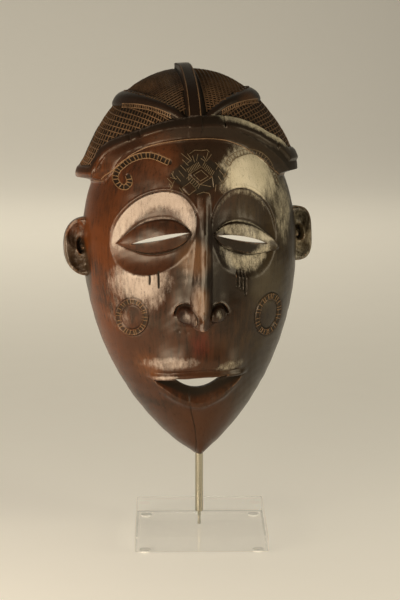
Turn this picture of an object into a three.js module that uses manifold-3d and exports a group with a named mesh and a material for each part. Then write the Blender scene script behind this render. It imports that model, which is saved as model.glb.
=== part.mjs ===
// A carved wooden face mask with a crested cap, held up by a thin steel rod in a clear acrylic
// block on four clear feet. Millimetres, +Z up, the face looks along -Y and +X is the viewer's
// right. The mask has its own frame: x across, d forward of the flat rim, z up from the chin.

import * as THREE from 'three';
import { mergeVertices } from 'three/addons/utils/BufferGeometryUtils.js';
import Module from 'manifold-3d';

const wasm = await Module();
wasm.setup();

const rad = THREE.MathUtils.degToRad;
const lerp = THREE.MathUtils.lerp;
const clamp = THREE.MathUtils.clamp;

// Eased step from 0 to 1 as v goes from one value to the other, in either direction
function smooth(from, to, v) {
  const t = clamp((v - from) / (to - from), 0, 1);
  return t * t * (3 - 2 * t);
}

// Soft bump of height 1 that falls off over a width
function bell(distance, width) {
  return Math.exp(-((distance / width) ** 2));
}

// Room between pieces that touch
const GAP = 0.3;

// Stand: block, feet and rod
const BLOCK_SIDE = 100;
const BLOCK_HEIGHT = 12;
const BLOCK_EDGE = 0.8;
const FOOT_RADIUS = 4.2;
const FOOT_TIP_RADIUS = 3.4;
const FOOT_HEIGHT = 1.4;
const FOOT_INSET = 7.5;
const ROD_RADIUS = 3;
const PIN_RADIUS = 1.2;
const PIN_HOLE_DEPTH = 10.6;
const ROD_X = -1;
const ROD_Y = 12;
const CHIN_HEIGHT = 60.9;
const ROD_IN_CHIN = 21;
const ROUND_SIDES = 24;
const FOOT_ROUND_SHARE = 0.4;
const HOLE_RUNOUT = 10;

// How the mask sits on the rod: turned to the right, leaning back, tipped a little to the left
const MASK_TURN = 8.4;
const MASK_LEAN = 6;
const MASK_TIP = 1.05;
const ROD_DEPTH_IN_CHIN = 10;

// Head: half width and depth over the height
const HEAD_HALF_WIDTH = 81.9;
const WIDEST_HEIGHT = 165.5;
const JAW_POWER = 0.73;
const TEMPLE_FALL = 6.07;
const TEMPLE_SPAN = 40;
const CHIN_TIP_HALF_WIDTH = 4.2;
const CHIN_TIP_FADE = 30;
const CHIN_DEPTH = 16;
const HEAD_DEPTH = 82;
const DEEPEST_HEIGHT = 200;
const PROFILE_POWER = 0.8;
const CROWN_HEIGHT = 294;
const CROWN_POWER = 2.1;
const CHIN_SQUARENESS = 1.85;
const HEAD_SQUARENESS = 2.25;
const SQUARENESS_HEIGHT = 150;
const SIDE_SWAY = -0.9;

// Cap: a dome standing proud of the forehead, with a brim
const CAP_BASE = 222;
const CAP_RISE = 73.5;
const CAP_HALF_WIDTH = 82.5;
const CAP_SIDE_POWER = 1.26;
const CAP_SIDE_ROUND = 2.25;
const CAP_DEPTH = 85;
const CAP_FRONT_POWER = 1.9;
const CAP_SQUARENESS = 2.15;
const CAP_SHIFT = 0.7;
const CAP_SHIFT_HEIGHT = 25;
const CAP_FOOT_DROP = 5;
const FLARE_HEIGHT = 12;
const FLARE_TURN = 0.5;
const BRIM_TOP = 242.4;
const BRIM_CENTRE = -3.85;
const BRIM_HALF_WIDTH = 70.5;
const BRIM_REACH = 1.04;
const BRIM_STEP_MIDDLE = 6.5;
const BRIM_STEP_SIDE = 2.6;
const BRIM_COVE = 8.6;
const BRIM_BEAD_PROUD = 1.8;
const BRIM_BEAD_LOW = 5.8;
const BRIM_BEAD_TALL = 8.6;
// Each side of the brim: how it falls away from the middle, its cove's height, its flare
const BRIM_LEFT = { fall: 8.7, power: 2, hook: 14.5, cove: 4.2, coveEnd: 1.2, flare: 3.2 };
const BRIM_RIGHT = { fall: 25.8, power: 3, hook: 0, cove: 6.6, coveEnd: 4, flare: 1.6 };
const BRIM_HOOK_POWER = 8;
// Where along the brim these change from the middle's value to the side's
const STEP_CHANGE = [0.2, 0.8];
const COVE_CHANGE = [0.15, 0.75];
const COVE_END_CHANGE = [0.75, 1];
const BEAD_CHANGE_X = [-45, 30];
const BEAD_ROUND_ROOM = 0.8;
const BEAD_ROUND_POWER = 4;

// Ribs of the cap
const CREST_HALF_WIDTH = 5.4;
const CREST_PROUD = 2.6;
const CREST_FOOT_X = -5.2;
const CREST_TOP_X = -1.4;
const CREST_NUB = 1.7;
const CREST_NUB_HEIGHT = 9;
const CREST_SPAN = 50;
const CREST_EDGE = [0.82, 1.03];
const SIDE_RIB_PROUD = 3;
const SIDE_RIB_START = 249.5;
const SIDE_RIB_RISE = 25.5;
const SIDE_RIB_TURN = 0.35;
const SIDE_RIB_MIDDLE = -0.07;
const SIDE_RIB_HALF_FRONT = 3.4;
const SIDE_RIB_HALF_BACK = 5.2;
const SIDE_RIB_CHANGE = [0.4, 1.4];
const SIDE_RIB_BEGIN = [0.06, 0.22];
const SIDE_RIB_ROUND = 0.7;

// Eyes: a socket is a leaning ellipse, the lids a pointed mound, the slit goes right through
const SOCKET_DEPTH = 6.2;
const BOWL_BELOW = 0.5;
const BOWL_ABOVE = 0.42;
const BOWL_CHANGE = [-8, 12];
const LID_PROUD = 5.2;
const LID_RIM = 0.42;
const LID_RIM_WIDTH = 0.14;
const LID_POWER_INNER = 3;
const LID_POWER_OUTER = 2.1;
const EYES = [
  {
    socket: { x: -37, z: 175, long: 34.5, short: 27, lean: 46 },
    lids: { x: -37.5, z: 171, half: 27.5, up: 14, down: 11, tilt: 6.5 },
    slit: { outer: [-57.3, 167.1], inner: [-9.2, 174.9], bow: 0.9, open: 3.5, slant: 0.3 },
  },
  {
    socket: { x: 29.4, z: 172.5, long: 34, short: 25.5, lean: 100 },
    lids: { x: 31.5, z: 166.4, half: 27, up: 13.8, down: 9.6, tilt: -13.6 },
    slit: { outer: [48.8, 163.4], inner: [8.4, 171.9], bow: 1.5, open: 3.9, slant: 0 },
  },
];

// Nose
const NOSE_TOP = 197;
const NOSE_TIP = 108;
const NOSE_UNDERCUT = 3.5;
const NOSE_TOP_X = -0.8;
const NOSE_TIP_X = -5;
const NOSE_HALF_TOP = 4.2;
const NOSE_HALF_TIP = 7.4;
const NOSE_PROUD_TOP = 2.5;
const NOSE_PROUD_TIP = 15;
const NOSE_BODY_PROUD = 4;
const NOSE_BODY_HALF = 17;
const NOSE_ROOF = 0.55;
const NOSE_ROOF_REACH = 1.15;
const NOSE_ROOF_POWER = 0.8;
const NOSE_ROUND = [0.25, 1.3];
const NOSE_BODY_ROUND = [0.2, 1];
const NOSE_RISE_POWER = 1.15;
const NOSE_TOP_FADE = [10, -4];
const VALLEY = { depth: 4.6, away: 22, width: 11, z: 130, tall: 24 };
const WINGS = [
  { x: -15.2, z: 113.6, half: 6.9, tall: 6.4, proud: 5.6 },
  { x: 8.4, z: 112.8, half: 6.5, tall: 6.2, proud: 5.2 },
];
const WING_FURROW = 1.9;
const WING_FURROW_AT = 1.18;
const WING_FURROW_WIDTH = 0.16;
const WING_FURROW_FADE = [-0.3, 0.3];
const WING_FOOT_FADE = [-0.95, -0.6];

// Mouth: a bulging upper lip over a boat-shaped hollow, with an opening right through
const MOUTH_X = -4.6;
const MOUTH_HALF_WIDTH = 37;
const SCOOP_HALF_WIDTH = 35;
const LIP_LINE = 65.2;
const LIP_CREST = 67.2;
const LIP_PROUD = 3.2;
const LIP_HALF_HEIGHT = 3.2;
const LIP_THICK_LEFT = 1.15;
const LIP_THICK_RIGHT = 0.7;
const LIP_THICK_CHANGE_X = [-30, 5];
const LIP_END = [0.8, 1.05];
const MUZZLE_HEIGHT = 75;
const MUZZLE_SPREAD = 11;
const MUZZLE_PROUD = 4.6;
const MUZZLE_END = [0.55, 1.12];
const MUZZLE_REACH = 1.3;
const SCOOP_BOTTOM = 45;
const SCOOP_POWER = 1.6;
const SCOOP_DEPTH = 9;
const SCOOP_FOOT = [0, 0.5];
const SCOOP_HEAD = [1.1, 0.98];
const SCOOP_END_POWER = 4;
const LIP_OVER_SCOOP = [0.7, 1];
const LOWER_LIP_PROUD = 1.8;
const LOWER_LIP_DROP = 2.5;
const LOWER_LIP_WIDTH = 3.2;
const LOWER_LIP_END = [0.5, 1];
const OPENING = { left: [-23.4, 65.2], right: [17, 66.3], bottom: [-4.4, 55.8], sag: 1.1 };

// Ears: half dishes facing forward, on the head's sides by the rim, with a bowl above and below
const EARS = [
  { side: -1, z: 163.8, tall: 22.4, wide: 18.5, squareness: 2.3 },
  { side: 1, z: 166.6, tall: 21, wide: 15.5, squareness: 3.2 },
];
const EAR_ROOT_X = 79;
const EAR_BACK_DEPTH = 0.5;
const EAR_RIM_DEPTH = 15;
const EAR_RIM_ROUND = 0.9;
const EAR_RIM_FALL = 2.6;
const EAR_ROOT_FALL = 1.5;
const EAR_OUTER_SHARE = 0.62;
const EAR_BOWLS = [
  { out: 0.42, up: 0.4, wide: 0.52, tall: 0.52, deep: 8.5 },
  { out: 0.4, up: -0.52, wide: 0.48, tall: 0.36, deep: 6 },
];
const EAR_CANAL_RADIUS = 4.2;
const EAR_CANAL_OUT = 5;
const EAR_CANAL_FLOOR = 2.6;
const EAR_KNOB_RADIUS = 2.4;
const EAR_KNOB_OUT = 3;
const EAR_KNOB_LIFT = 3.4;
const EAR_CANAL_RUNOUT = 10;
const EAR_CENTRE_LIFT = 0.5;
const EAR_BOWL_EDGE = [0.15, 1];
const EAR_BOWL_POWER = 0.8;
const EAR_RING_POWER = 0.9;
const EAR_RINGS = 6;
const EAR_SPOKES = 14;

// Cheek rings, raised bands round a flat disc
const CHEEK_RINGS = [
  { x: -53.4, z: 113, wide: 11, tall: 14.4, lean: 0 },
  { x: 49.6, z: 109.8, wide: 11.5, tall: 16.2, lean: -10 },
];
const RING_BAND = 4.2;
const RING_PROUD = 0.8;
const RING_SIDES = 12;

// Hollow behind the face
const WALL = 9;
const FRONT_WALL = 12;
const CHIN_WALL = 15;
const HOLLOW_BOTTOM = 29;
const HOLLOW_BOTTOM_ROUND = 18;
const HOLLOW_SHOULDER = 222;
const HOLLOW_RISE = 62;
const HOLLOW_SIDE_POWER = 1.8;
const HOLLOW_BEHIND = 10;
const CHIN_WALL_CHANGE_Z = [60, 100];
const HOLLOW_LEAST = 0.98;
const HOLLOW_ROW_EASE = 0.75;
const HOLLOW_TOP_MARGIN = 0.4;

// Fineness of the carved surface
const COLUMNS = 42;
const MIDDLE_DENSITY = 0.54;
const ROW_ZONES = [
  { top: 38, rows: 5 },
  { top: 78, rows: 12 },
  { top: 98, rows: 3 },
  { top: 124, rows: 7 },
  { top: 148, rows: 3 },
  { top: 210, rows: 16 },
];
// Above the eyes the rows bend: they follow the brim, then the side ribs, then close on the crown
const BROW_ROWS = 6;
const BRIM_ROWS = 6;
const LOWER_PANEL_ROWS = 5;
const RIB_ROWS = 4;
const UPPER_PANEL_ROWS = 8;
const LEAST_PANEL = 2.4;
// The relief fades out where the surface turns to face sideways, as cosines of the turn
const FACING_FADE = [0.05, 0.3];
// Steps by which a section surface's outward direction is found
const TURN_STEP = 0.004;
const LIFT_STEP = 0.4;
const CHIN_MARGIN = 0.5;
const CROWN_MARGIN = 1.5;
const HOLLOW_COLUMNS = 18;
const HOLLOW_ROWS = 15;
const CUT_FRONT = 130;
const CUT_BEHIND = 5;
const SLANT_FROM = 72;
const CUT_SEGMENTS = 6;

function superellipse(angle, squareness) {
  const across = Math.abs(Math.sin(angle));
  const ahead = Math.abs(Math.cos(angle));
  const reach = (across ** squareness + ahead ** squareness) ** (-1 / squareness);
  return [reach * Math.sin(angle), reach * Math.cos(angle)];
}

function headHalfWidth(z) {
  if (z > WIDEST_HEIGHT) return HEAD_HALF_WIDTH - TEMPLE_FALL * ((z - WIDEST_HEIGHT) / TEMPLE_SPAN) ** 2;
  const jaw = HEAD_HALF_WIDTH * Math.sin((Math.PI / 2) * (z / WIDEST_HEIGHT) ** JAW_POWER);
  const tip = CHIN_TIP_HALF_WIDTH * Math.max(0, 1 - z / CHIN_TIP_FADE);
  return Math.hypot(jaw, tip);
}

function headDepth(z) {
  if (z < DEEPEST_HEIGHT) {
    const rise = Math.sin((Math.PI / 2) * (z / DEEPEST_HEIGHT) ** PROFILE_POWER);
    return CHIN_DEPTH + (HEAD_DEPTH - CHIN_DEPTH) * rise;
  }
  const t = clamp((z - DEEPEST_HEIGHT) / (CROWN_HEIGHT - DEEPEST_HEIGHT), 0, 1);
  return HEAD_DEPTH * (1 - t ** CROWN_POWER) ** (1 / CROWN_POWER);
}

// Section of the head at a height, as shares of its half width and depth
function headSection(angle, z) {
  return superellipse(angle, lerp(CHIN_SQUARENESS, HEAD_SQUARENESS, clamp(z / SQUARENESS_HEIGHT, 0, 1)));
}

function headPoint(angle, z) {
  const [across, ahead] = headSection(angle, z);
  const sway = SIDE_SWAY * Math.sin((Math.PI * z) / CROWN_HEIGHT);
  return [Math.max(headHalfWidth(z), 0) * across + sway, headDepth(z) * ahead];
}

function capPoint(angle, z) {
  const t = clamp((z - CAP_BASE) / CAP_RISE, 0, 1);
  const half = CAP_HALF_WIDTH * (1 - t ** CAP_SIDE_POWER) ** (1 / CAP_SIDE_ROUND);
  const depth = CAP_DEPTH * Math.sqrt(1 - t ** CAP_FRONT_POWER);
  const [across, ahead] = superellipse(angle, CAP_SQUARENESS);
  const flared = lerp(BRIM_LEFT.flare, BRIM_RIGHT.flare, smooth(-FLARE_TURN, FLARE_TURN, across));
  const foot = CAP_BASE - CAP_FOOT_DROP;
  const flare = flared * smooth(CAP_BASE + FLARE_HEIGHT, foot, z);
  const shift = CAP_SHIFT * smooth(foot, CAP_BASE + CAP_SHIFT_HEIGHT, z);
  return [(half + flare) * across + shift, depth * ahead];
}

// Distance from the brim's middle, 1 near its ends, and the side that it is on
function brimShare(x) {
  const side = x < BRIM_CENTRE ? BRIM_LEFT : BRIM_RIGHT;
  return { reach: Math.abs(x - BRIM_CENTRE) / BRIM_HALF_WIDTH, side };
}

// Height of the brim's lower edge at a place across the head
function brimEdge(x) {
  const { reach, side } = brimShare(x);
  const share = Math.min(reach, BRIM_REACH);
  return BRIM_TOP - side.fall * share ** side.power - side.hook * share ** BRIM_HOOK_POWER;
}

// How far the brim takes to step out from the forehead, how far up its bead lies and how tall that is
function brimHeights(x) {
  const { reach, side } = brimShare(x);
  const step = lerp(BRIM_STEP_MIDDLE, BRIM_STEP_SIDE, smooth(...STEP_CHANGE, reach));
  const coveEnd = side.coveEnd * smooth(...COVE_END_CHANGE, reach);
  const cove = lerp(BRIM_COVE, side.cove, smooth(...COVE_CHANGE, reach)) + coveEnd;
  return { step, cove, bead: lerp(BRIM_BEAD_LOW, BRIM_BEAD_TALL, smooth(...BEAD_CHANGE_X, x)) };
}

function socketShape(eye, x, z) {
  const { socket } = eye;
  const lean = rad(socket.lean);
  const dx = x - socket.x;
  const dz = z - socket.z;
  const along = (dx * Math.cos(lean) + dz * Math.sin(lean)) / socket.long;
  const aside = (dz * Math.cos(lean) - dx * Math.sin(lean)) / socket.short;
  const bowl = lerp(BOWL_BELOW, BOWL_ABOVE, smooth(...BOWL_CHANGE, dz));
  const slope = clamp((1 - Math.hypot(along, aside)) / (1 - bowl), 0, 1);
  return -SOCKET_DEPTH * slope * (2 - slope);
}

function lidShape(eye, x, z) {
  const { lids } = eye;
  const tilt = rad(lids.tilt);
  const dx = x - lids.x;
  const dz = z - lids.z;
  const u = (dx * Math.cos(tilt) + dz * Math.sin(tilt)) / lids.half;
  const v = dz * Math.cos(tilt) - dx * Math.sin(tilt);
  if (Math.abs(u) >= 1) return 0;
  const power = u * lids.x < 0 ? LID_POWER_INNER : LID_POWER_OUTER;
  const inside = 1 - Math.abs(v) / ((v > 0 ? lids.up : lids.down) * (1 - Math.abs(u) ** power));
  if (inside <= 0) return 0;
  const rise = LID_RIM * smooth(0, LID_RIM_WIDTH, inside) + (1 - LID_RIM) * (1 - (1 - inside) ** 2);
  return LID_PROUD * Math.sqrt(1 - u * u) * rise;
}

function noseShape(x, z) {
  const down = clamp((NOSE_TOP - z) / (NOSE_TOP - NOSE_TIP), 0, 1);
  const dx = Math.abs(x - lerp(NOSE_TOP_X, NOSE_TIP_X, down));
  const half = lerp(NOSE_HALF_TOP, NOSE_HALF_TIP, down);
  const end = smooth(NOSE_TIP - NOSE_UNDERCUT, NOSE_TIP, z) * smooth(...NOSE_TOP_FADE, z - NOSE_TOP);
  const round = 1 - smooth(...NOSE_ROUND, dx / half);
  const roof = Math.max(0, 1 - dx / half / NOSE_ROOF_REACH) ** NOSE_ROOF_POWER;
  const proud = lerp(NOSE_PROUD_TOP, NOSE_PROUD_TIP, down ** NOSE_RISE_POWER);
  const ridge = proud * lerp(round, roof, NOSE_ROOF);
  const body = NOSE_BODY_PROUD * down * (1 - smooth(...NOSE_BODY_ROUND, dx / NOSE_BODY_HALF));
  const valley = VALLEY.depth * bell(dx - VALLEY.away, VALLEY.width) * bell(z - VALLEY.z, VALLEY.tall);
  return (ridge + body) * end - valley;
}

function wingShape(wing, x, z) {
  const dx = (x - wing.x) / wing.half;
  const dz = (z - wing.z) / wing.tall;
  const reach = Math.hypot(dx, dz);
  const dome = wing.proud * Math.sqrt(Math.max(0, 1 - reach * reach));
  const furrow = WING_FURROW * bell(reach - WING_FURROW_AT, WING_FURROW_WIDTH);
  return dome * smooth(...WING_FOOT_FADE, dz) - furrow * smooth(...WING_FURROW_FADE, dz);
}

function mouthShape(x, z) {
  const u = Math.abs(x - MOUTH_X) / MOUTH_HALF_WIDTH;
  if (u > MUZZLE_REACH) return 0;
  const width = 1 - smooth(...MUZZLE_END, u);
  const muzzle = MUZZLE_PROUD * bell(z - MUZZLE_HEIGHT, MUZZLE_SPREAD) * width;
  const thick = lerp(LIP_THICK_LEFT, LIP_THICK_RIGHT, smooth(...LIP_THICK_CHANGE_X, x));
  const lip = LIP_PROUD * thick * bell(z - LIP_CREST, LIP_HALF_HEIGHT * thick) * (1 - smooth(...LIP_END, u));
  const s = Math.min(Math.abs(x - MOUTH_X) / SCOOP_HALF_WIDTH, 1);
  const bottom = lerp(SCOOP_BOTTOM, LIP_LINE, s ** SCOOP_POWER);
  const share = (z - bottom) / Math.max(LIP_LINE - bottom, 1);
  const hollow = smooth(...SCOOP_FOOT, share) * smooth(...SCOOP_HEAD, share) * (1 - s ** SCOOP_END_POWER);
  const lower = bell(z - bottom + LOWER_LIP_DROP, LOWER_LIP_WIDTH) * (1 - smooth(...LOWER_LIP_END, s));
  const upper = lip * (share > 1 ? 1 : smooth(...LIP_OVER_SCOOP, share));
  return muzzle + upper + LOWER_LIP_PROUD * lower - SCOOP_DEPTH * hollow;
}

function crestShape(x, z) {
  if (z < brimEdge(x)) return 0;
  const centre = lerp(CREST_FOOT_X, CREST_TOP_X, clamp((z - BRIM_TOP) / CREST_SPAN, 0, 1));
  const proud = CREST_PROUD + CREST_NUB * smooth(CREST_NUB_HEIGHT, 0, CAP_BASE + CAP_RISE - z);
  return proud * (1 - smooth(...CREST_EDGE, Math.abs(x - centre) / CREST_HALF_WIDTH));
}

// Middle height and half thickness of the side rib at an angle round the cap
function sideRib(angle) {
  const turn = Math.abs(angle - SIDE_RIB_MIDDLE);
  const half = lerp(SIDE_RIB_HALF_FRONT, SIDE_RIB_HALF_BACK, smooth(...SIDE_RIB_CHANGE, turn));
  return { turn, half, centre: SIDE_RIB_START + SIDE_RIB_RISE * (1 - Math.exp(-turn / SIDE_RIB_TURN)) };
}

function sideRibShape(angle, z) {
  const { turn, half, centre } = sideRib(angle);
  const reach = Math.abs(z - centre) / half;
  const start = smooth(...SIDE_RIB_BEGIN, turn);
  return reach < 1 ? SIDE_RIB_PROUD * start * (1 - reach * reach) ** SIDE_RIB_ROUND : 0;
}

// Everything that the carver raised from or cut into the face, before the cap
function faceRelief(x, z) {
  let relief = noseShape(x, z) + mouthShape(x, z);
  for (const eye of EYES) relief += socketShape(eye, x, z) + lidShape(eye, x, z);
  for (const wing of WINGS) relief += wingShape(wing, x, z);
  return relief;
}

// Outward direction of a plain section surface at one of its points
function outward(pointAt, angle, z) {
  const a = pointAt(angle - TURN_STEP, z);
  const b = pointAt(angle + TURN_STEP, z);
  const low = pointAt(angle, z - LIFT_STEP);
  const high = pointAt(angle, z + LIFT_STEP);
  const around = new THREE.Vector3(b[0] - a[0], b[1] - a[1], 0);
  const up = new THREE.Vector3(high[0] - low[0], high[1] - low[1], 2 * LIFT_STEP);
  return up.cross(around).normalize();
}

function carvedPoint(angle, z) {
  const head = headPoint(angle, z);
  const cap = capPoint(angle, z);
  const edge = brimEdge(cap[0]);
  const { step, cove, bead: tall } = brimHeights(cap[0]);
  const share = smooth(edge, edge + step, z);
  const pointAt = share > 0.5 ? capPoint : headPoint;
  const normal = outward(pointAt, angle, clamp(z, CHIN_MARGIN, CAP_BASE + CAP_RISE - CROWN_MARGIN));
  const fromMiddle = (z - edge - cove - tall / 2) / (tall / 2 + BEAD_ROUND_ROOM);
  const bead = BRIM_BEAD_PROUD * Math.max(0, 1 - fromMiddle ** BEAD_ROUND_POWER);
  const onCap = Math.max(bead, crestShape(cap[0], z), sideRibShape(angle, z));
  const facing = smooth(...FACING_FADE, Math.cos(angle));
  const relief = share * onCap + (1 - share) * facing * faceRelief(head[0], z);
  const x = lerp(head[0], cap[0], share) + relief * normal.x;
  const depth = Math.max(0, lerp(head[1], cap[1], share) + relief * normal.y);
  const keep = Math.abs(angle) > Math.PI / 2 - 1e-6 ? 0 : depth;
  return new THREE.Vector3(x, -keep, z + relief * normal.z);
}

// Heights of all rows at one angle, from the chin tip to just under the crown
function rowHeights(angle) {
  const across = capPoint(angle, CAP_BASE)[0];
  const edge = brimEdge(across);
  const { cove, bead } = brimHeights(across);
  const beadTop = edge + cove + bead;
  const { centre, half } = sideRib(angle);
  const ribLow = Math.max(beadTop + LEAST_PANEL, centre - half);
  const zones = [
    ...ROW_ZONES,
    { top: edge, rows: BROW_ROWS },
    { top: beadTop, rows: BRIM_ROWS },
    { top: ribLow, rows: LOWER_PANEL_ROWS },
    { top: ribLow + 2 * half, rows: RIB_ROWS },
  ];
  const heights = [0];
  for (const { top, rows } of zones) {
    const from = heights[heights.length - 1];
    for (let i = 1; i <= rows; i += 1) heights.push(lerp(from, top, i / rows));
  }
  const from = heights[heights.length - 1];
  for (let i = 1; i < UPPER_PANEL_ROWS; i += 1) {
    const share = Math.sin(((Math.PI / 2) * i) / UPPER_PANEL_ROWS);
    heights.push(lerp(from, CAP_BASE + CAP_RISE, share));
  }
  return heights;
}

function columnAngles(count) {
  return Array.from({ length: count + 1 }, (_, i) => {
    const u = (2 * i) / count - 1;
    return (Math.PI / 2) * (MIDDLE_DENSITY * u + (1 - MIDDLE_DENSITY) * u ** 3);
  });
}

// Closed solid from rows of points: faces between rows, and a fan over the first and last row.
// Each row runs round the section, and its last point joins its first.
function rowsToSolid(rows, topPoint) {
  const positions = rows.flat().flatMap((p) => [p.x, p.y, p.z]);
  const width = rows[0].length;
  const faces = [];
  for (let r = 0; r + 1 < rows.length; r += 1) {
    for (let c = 0; c < width; c += 1) {
      const next = (c + 1) % width;
      const a = r * width + c;
      const b = r * width + next;
      const e = a + width;
      const f = b + width;
      const rising = rows[r][c].distanceTo(rows[r + 1][next]);
      const falling = rows[r][next].distanceTo(rows[r + 1][c]);
      if (rising <= falling) faces.push(a, b, f, a, f, e);
      else faces.push(a, b, e, b, f, e);
    }
  }
  const caps = [[rows[0], 0, true], [rows[rows.length - 1], (rows.length - 1) * width, false]];
  for (const [row, first, under] of caps) {
    const centre = positions.length / 3;
    const middle = row.reduce((sum, p) => sum.add(p), new THREE.Vector3()).divideScalar(width);
    const point = under || !topPoint ? middle : topPoint;
    positions.push(point.x, point.y, point.z);
    for (let c = 0; c < width; c += 1) {
      const a = first + c;
      const b = first + ((c + 1) % width);
      if (under) faces.push(b, a, centre);
      else faces.push(a, b, centre);
    }
  }
  return toManifold(indexed(positions, faces));
}

function indexed(positions, faces) {
  const geometry = new THREE.BufferGeometry();
  geometry.setAttribute('position', new THREE.Float32BufferAttribute(positions, 3));
  geometry.setIndex(faces);
  return geometry;
}

function toManifold(source) {
  const bare = source.clone();
  bare.deleteAttribute('normal');
  bare.deleteAttribute('uv');
  const merged = mergeVertices(bare, 1e-4);
  return new wasm.Manifold(new wasm.Mesh({
    numProp: 3,
    vertProperties: new Float32Array(merged.attributes.position.array),
    triVerts: new Uint32Array(merged.index.array),
  }));
}

function toGeometry(solid) {
  const mesh = solid.getMesh();
  const geometry = indexed(Array.from(mesh.vertProperties), Array.from(mesh.triVerts));
  geometry.computeVertexNormals();
  return geometry;
}

function outerSolid() {
  const angles = columnAngles(COLUMNS);
  const columns = angles.map((angle) => rowHeights(angle).map((z) => carvedPoint(angle, z)));
  const rows = columns[0].map((_, r) => columns.map((column) => column[r]));
  const last = rows[rows.length - 1];
  const nearest = last[Math.floor(last.length / 2)];
  return rowsToSolid(rows, new THREE.Vector3(CREST_TOP_X, nearest.y / 2, nearest.z));
}

// The hollow follows the plain head at a wall's distance and runs on behind the rim
function hollowPoint(angle, z) {
  const [across, ahead] = headSection(angle, z);
  const z0 = Math.min(z, HOLLOW_SHOULDER);
  const close = clamp((z - HOLLOW_SHOULDER) / HOLLOW_RISE, 0, 1);
  const start = clamp((HOLLOW_BOTTOM + HOLLOW_BOTTOM_ROUND - z) / HOLLOW_BOTTOM_ROUND, 0, 1);
  const round = Math.sqrt(1 - start ** 2 * HOLLOW_LEAST);
  const half = (headHalfWidth(z0) - WALL) * Math.sqrt(1 - close ** HOLLOW_SIDE_POWER) * round;
  const wall = lerp(CHIN_WALL, FRONT_WALL, smooth(...CHIN_WALL_CHANGE_Z, z));
  const depth = (headDepth(z0) - wall) * Math.sqrt(1 - close ** 2) * round;
  return new THREE.Vector3(half * across, -depth * ahead, z);
}

function hollowSolid() {
  const angles = columnAngles(HOLLOW_COLUMNS);
  const top = HOLLOW_SHOULDER + HOLLOW_RISE;
  const rows = [];
  for (let i = 0; i <= HOLLOW_ROWS; i += 1) {
    const u = i / HOLLOW_ROWS;
    const eased = u - Math.sin(2 * Math.PI * u) / (2 * Math.PI) * HOLLOW_ROW_EASE;
    const z = lerp(HOLLOW_BOTTOM, top - HOLLOW_TOP_MARGIN, eased);
    const row = angles.map((angle) => hollowPoint(angle, z));
    row.unshift(row[0].clone().setY(HOLLOW_BEHIND));
    row.push(row[row.length - 1].clone().setY(HOLLOW_BEHIND));
    rows.push(row);
  }
  return rowsToSolid(rows, null);
}

// A prism through the face along its depth, from an outline in the mask's x and z. It runs across by
// slant for each step back, and has the outline's own place at the front's usual depth.
function frontPrism(shape, slant) {
  const prism = new THREE.ExtrudeGeometry(shape, {
    depth: CUT_FRONT + CUT_BEHIND, bevelEnabled: false, curveSegments: CUT_SEGMENTS,
  });
  prism.rotateX(Math.PI / 2).translate(0, CUT_BEHIND, 0);
  const shear = new THREE.Matrix4().makeShear(0, 0, slant, 0, 0, 0).setPosition(slant * SLANT_FROM, 0, 0);
  return toManifold(prism.applyMatrix4(shear));
}

function slitShape({ outer, inner, bow, open }) {
  const middle = [(outer[0] + inner[0]) / 2, (outer[1] + inner[1]) / 2 + bow];
  const [left, right] = outer[0] < inner[0] ? [outer, inner] : [inner, outer];
  const shape = new THREE.Shape();
  shape.moveTo(left[0], left[1]);
  shape.quadraticCurveTo(middle[0], middle[1] - open, right[0], right[1]);
  shape.quadraticCurveTo(middle[0], middle[1] + open, left[0], left[1]);
  return shape;
}

function openingShape() {
  const { left, right, bottom, sag } = OPENING;
  const level = (left[1] + right[1]) / 2;
  const pull = 2 * bottom[1] - level;
  const shape = new THREE.Shape();
  shape.moveTo(left[0], left[1]);
  shape.quadraticCurveTo(bottom[0], pull, right[0], right[1]);
  shape.quadraticCurveTo((left[0] + right[0]) / 2, level - 2 * sag, left[0], left[1]);
  return shape;
}

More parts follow.
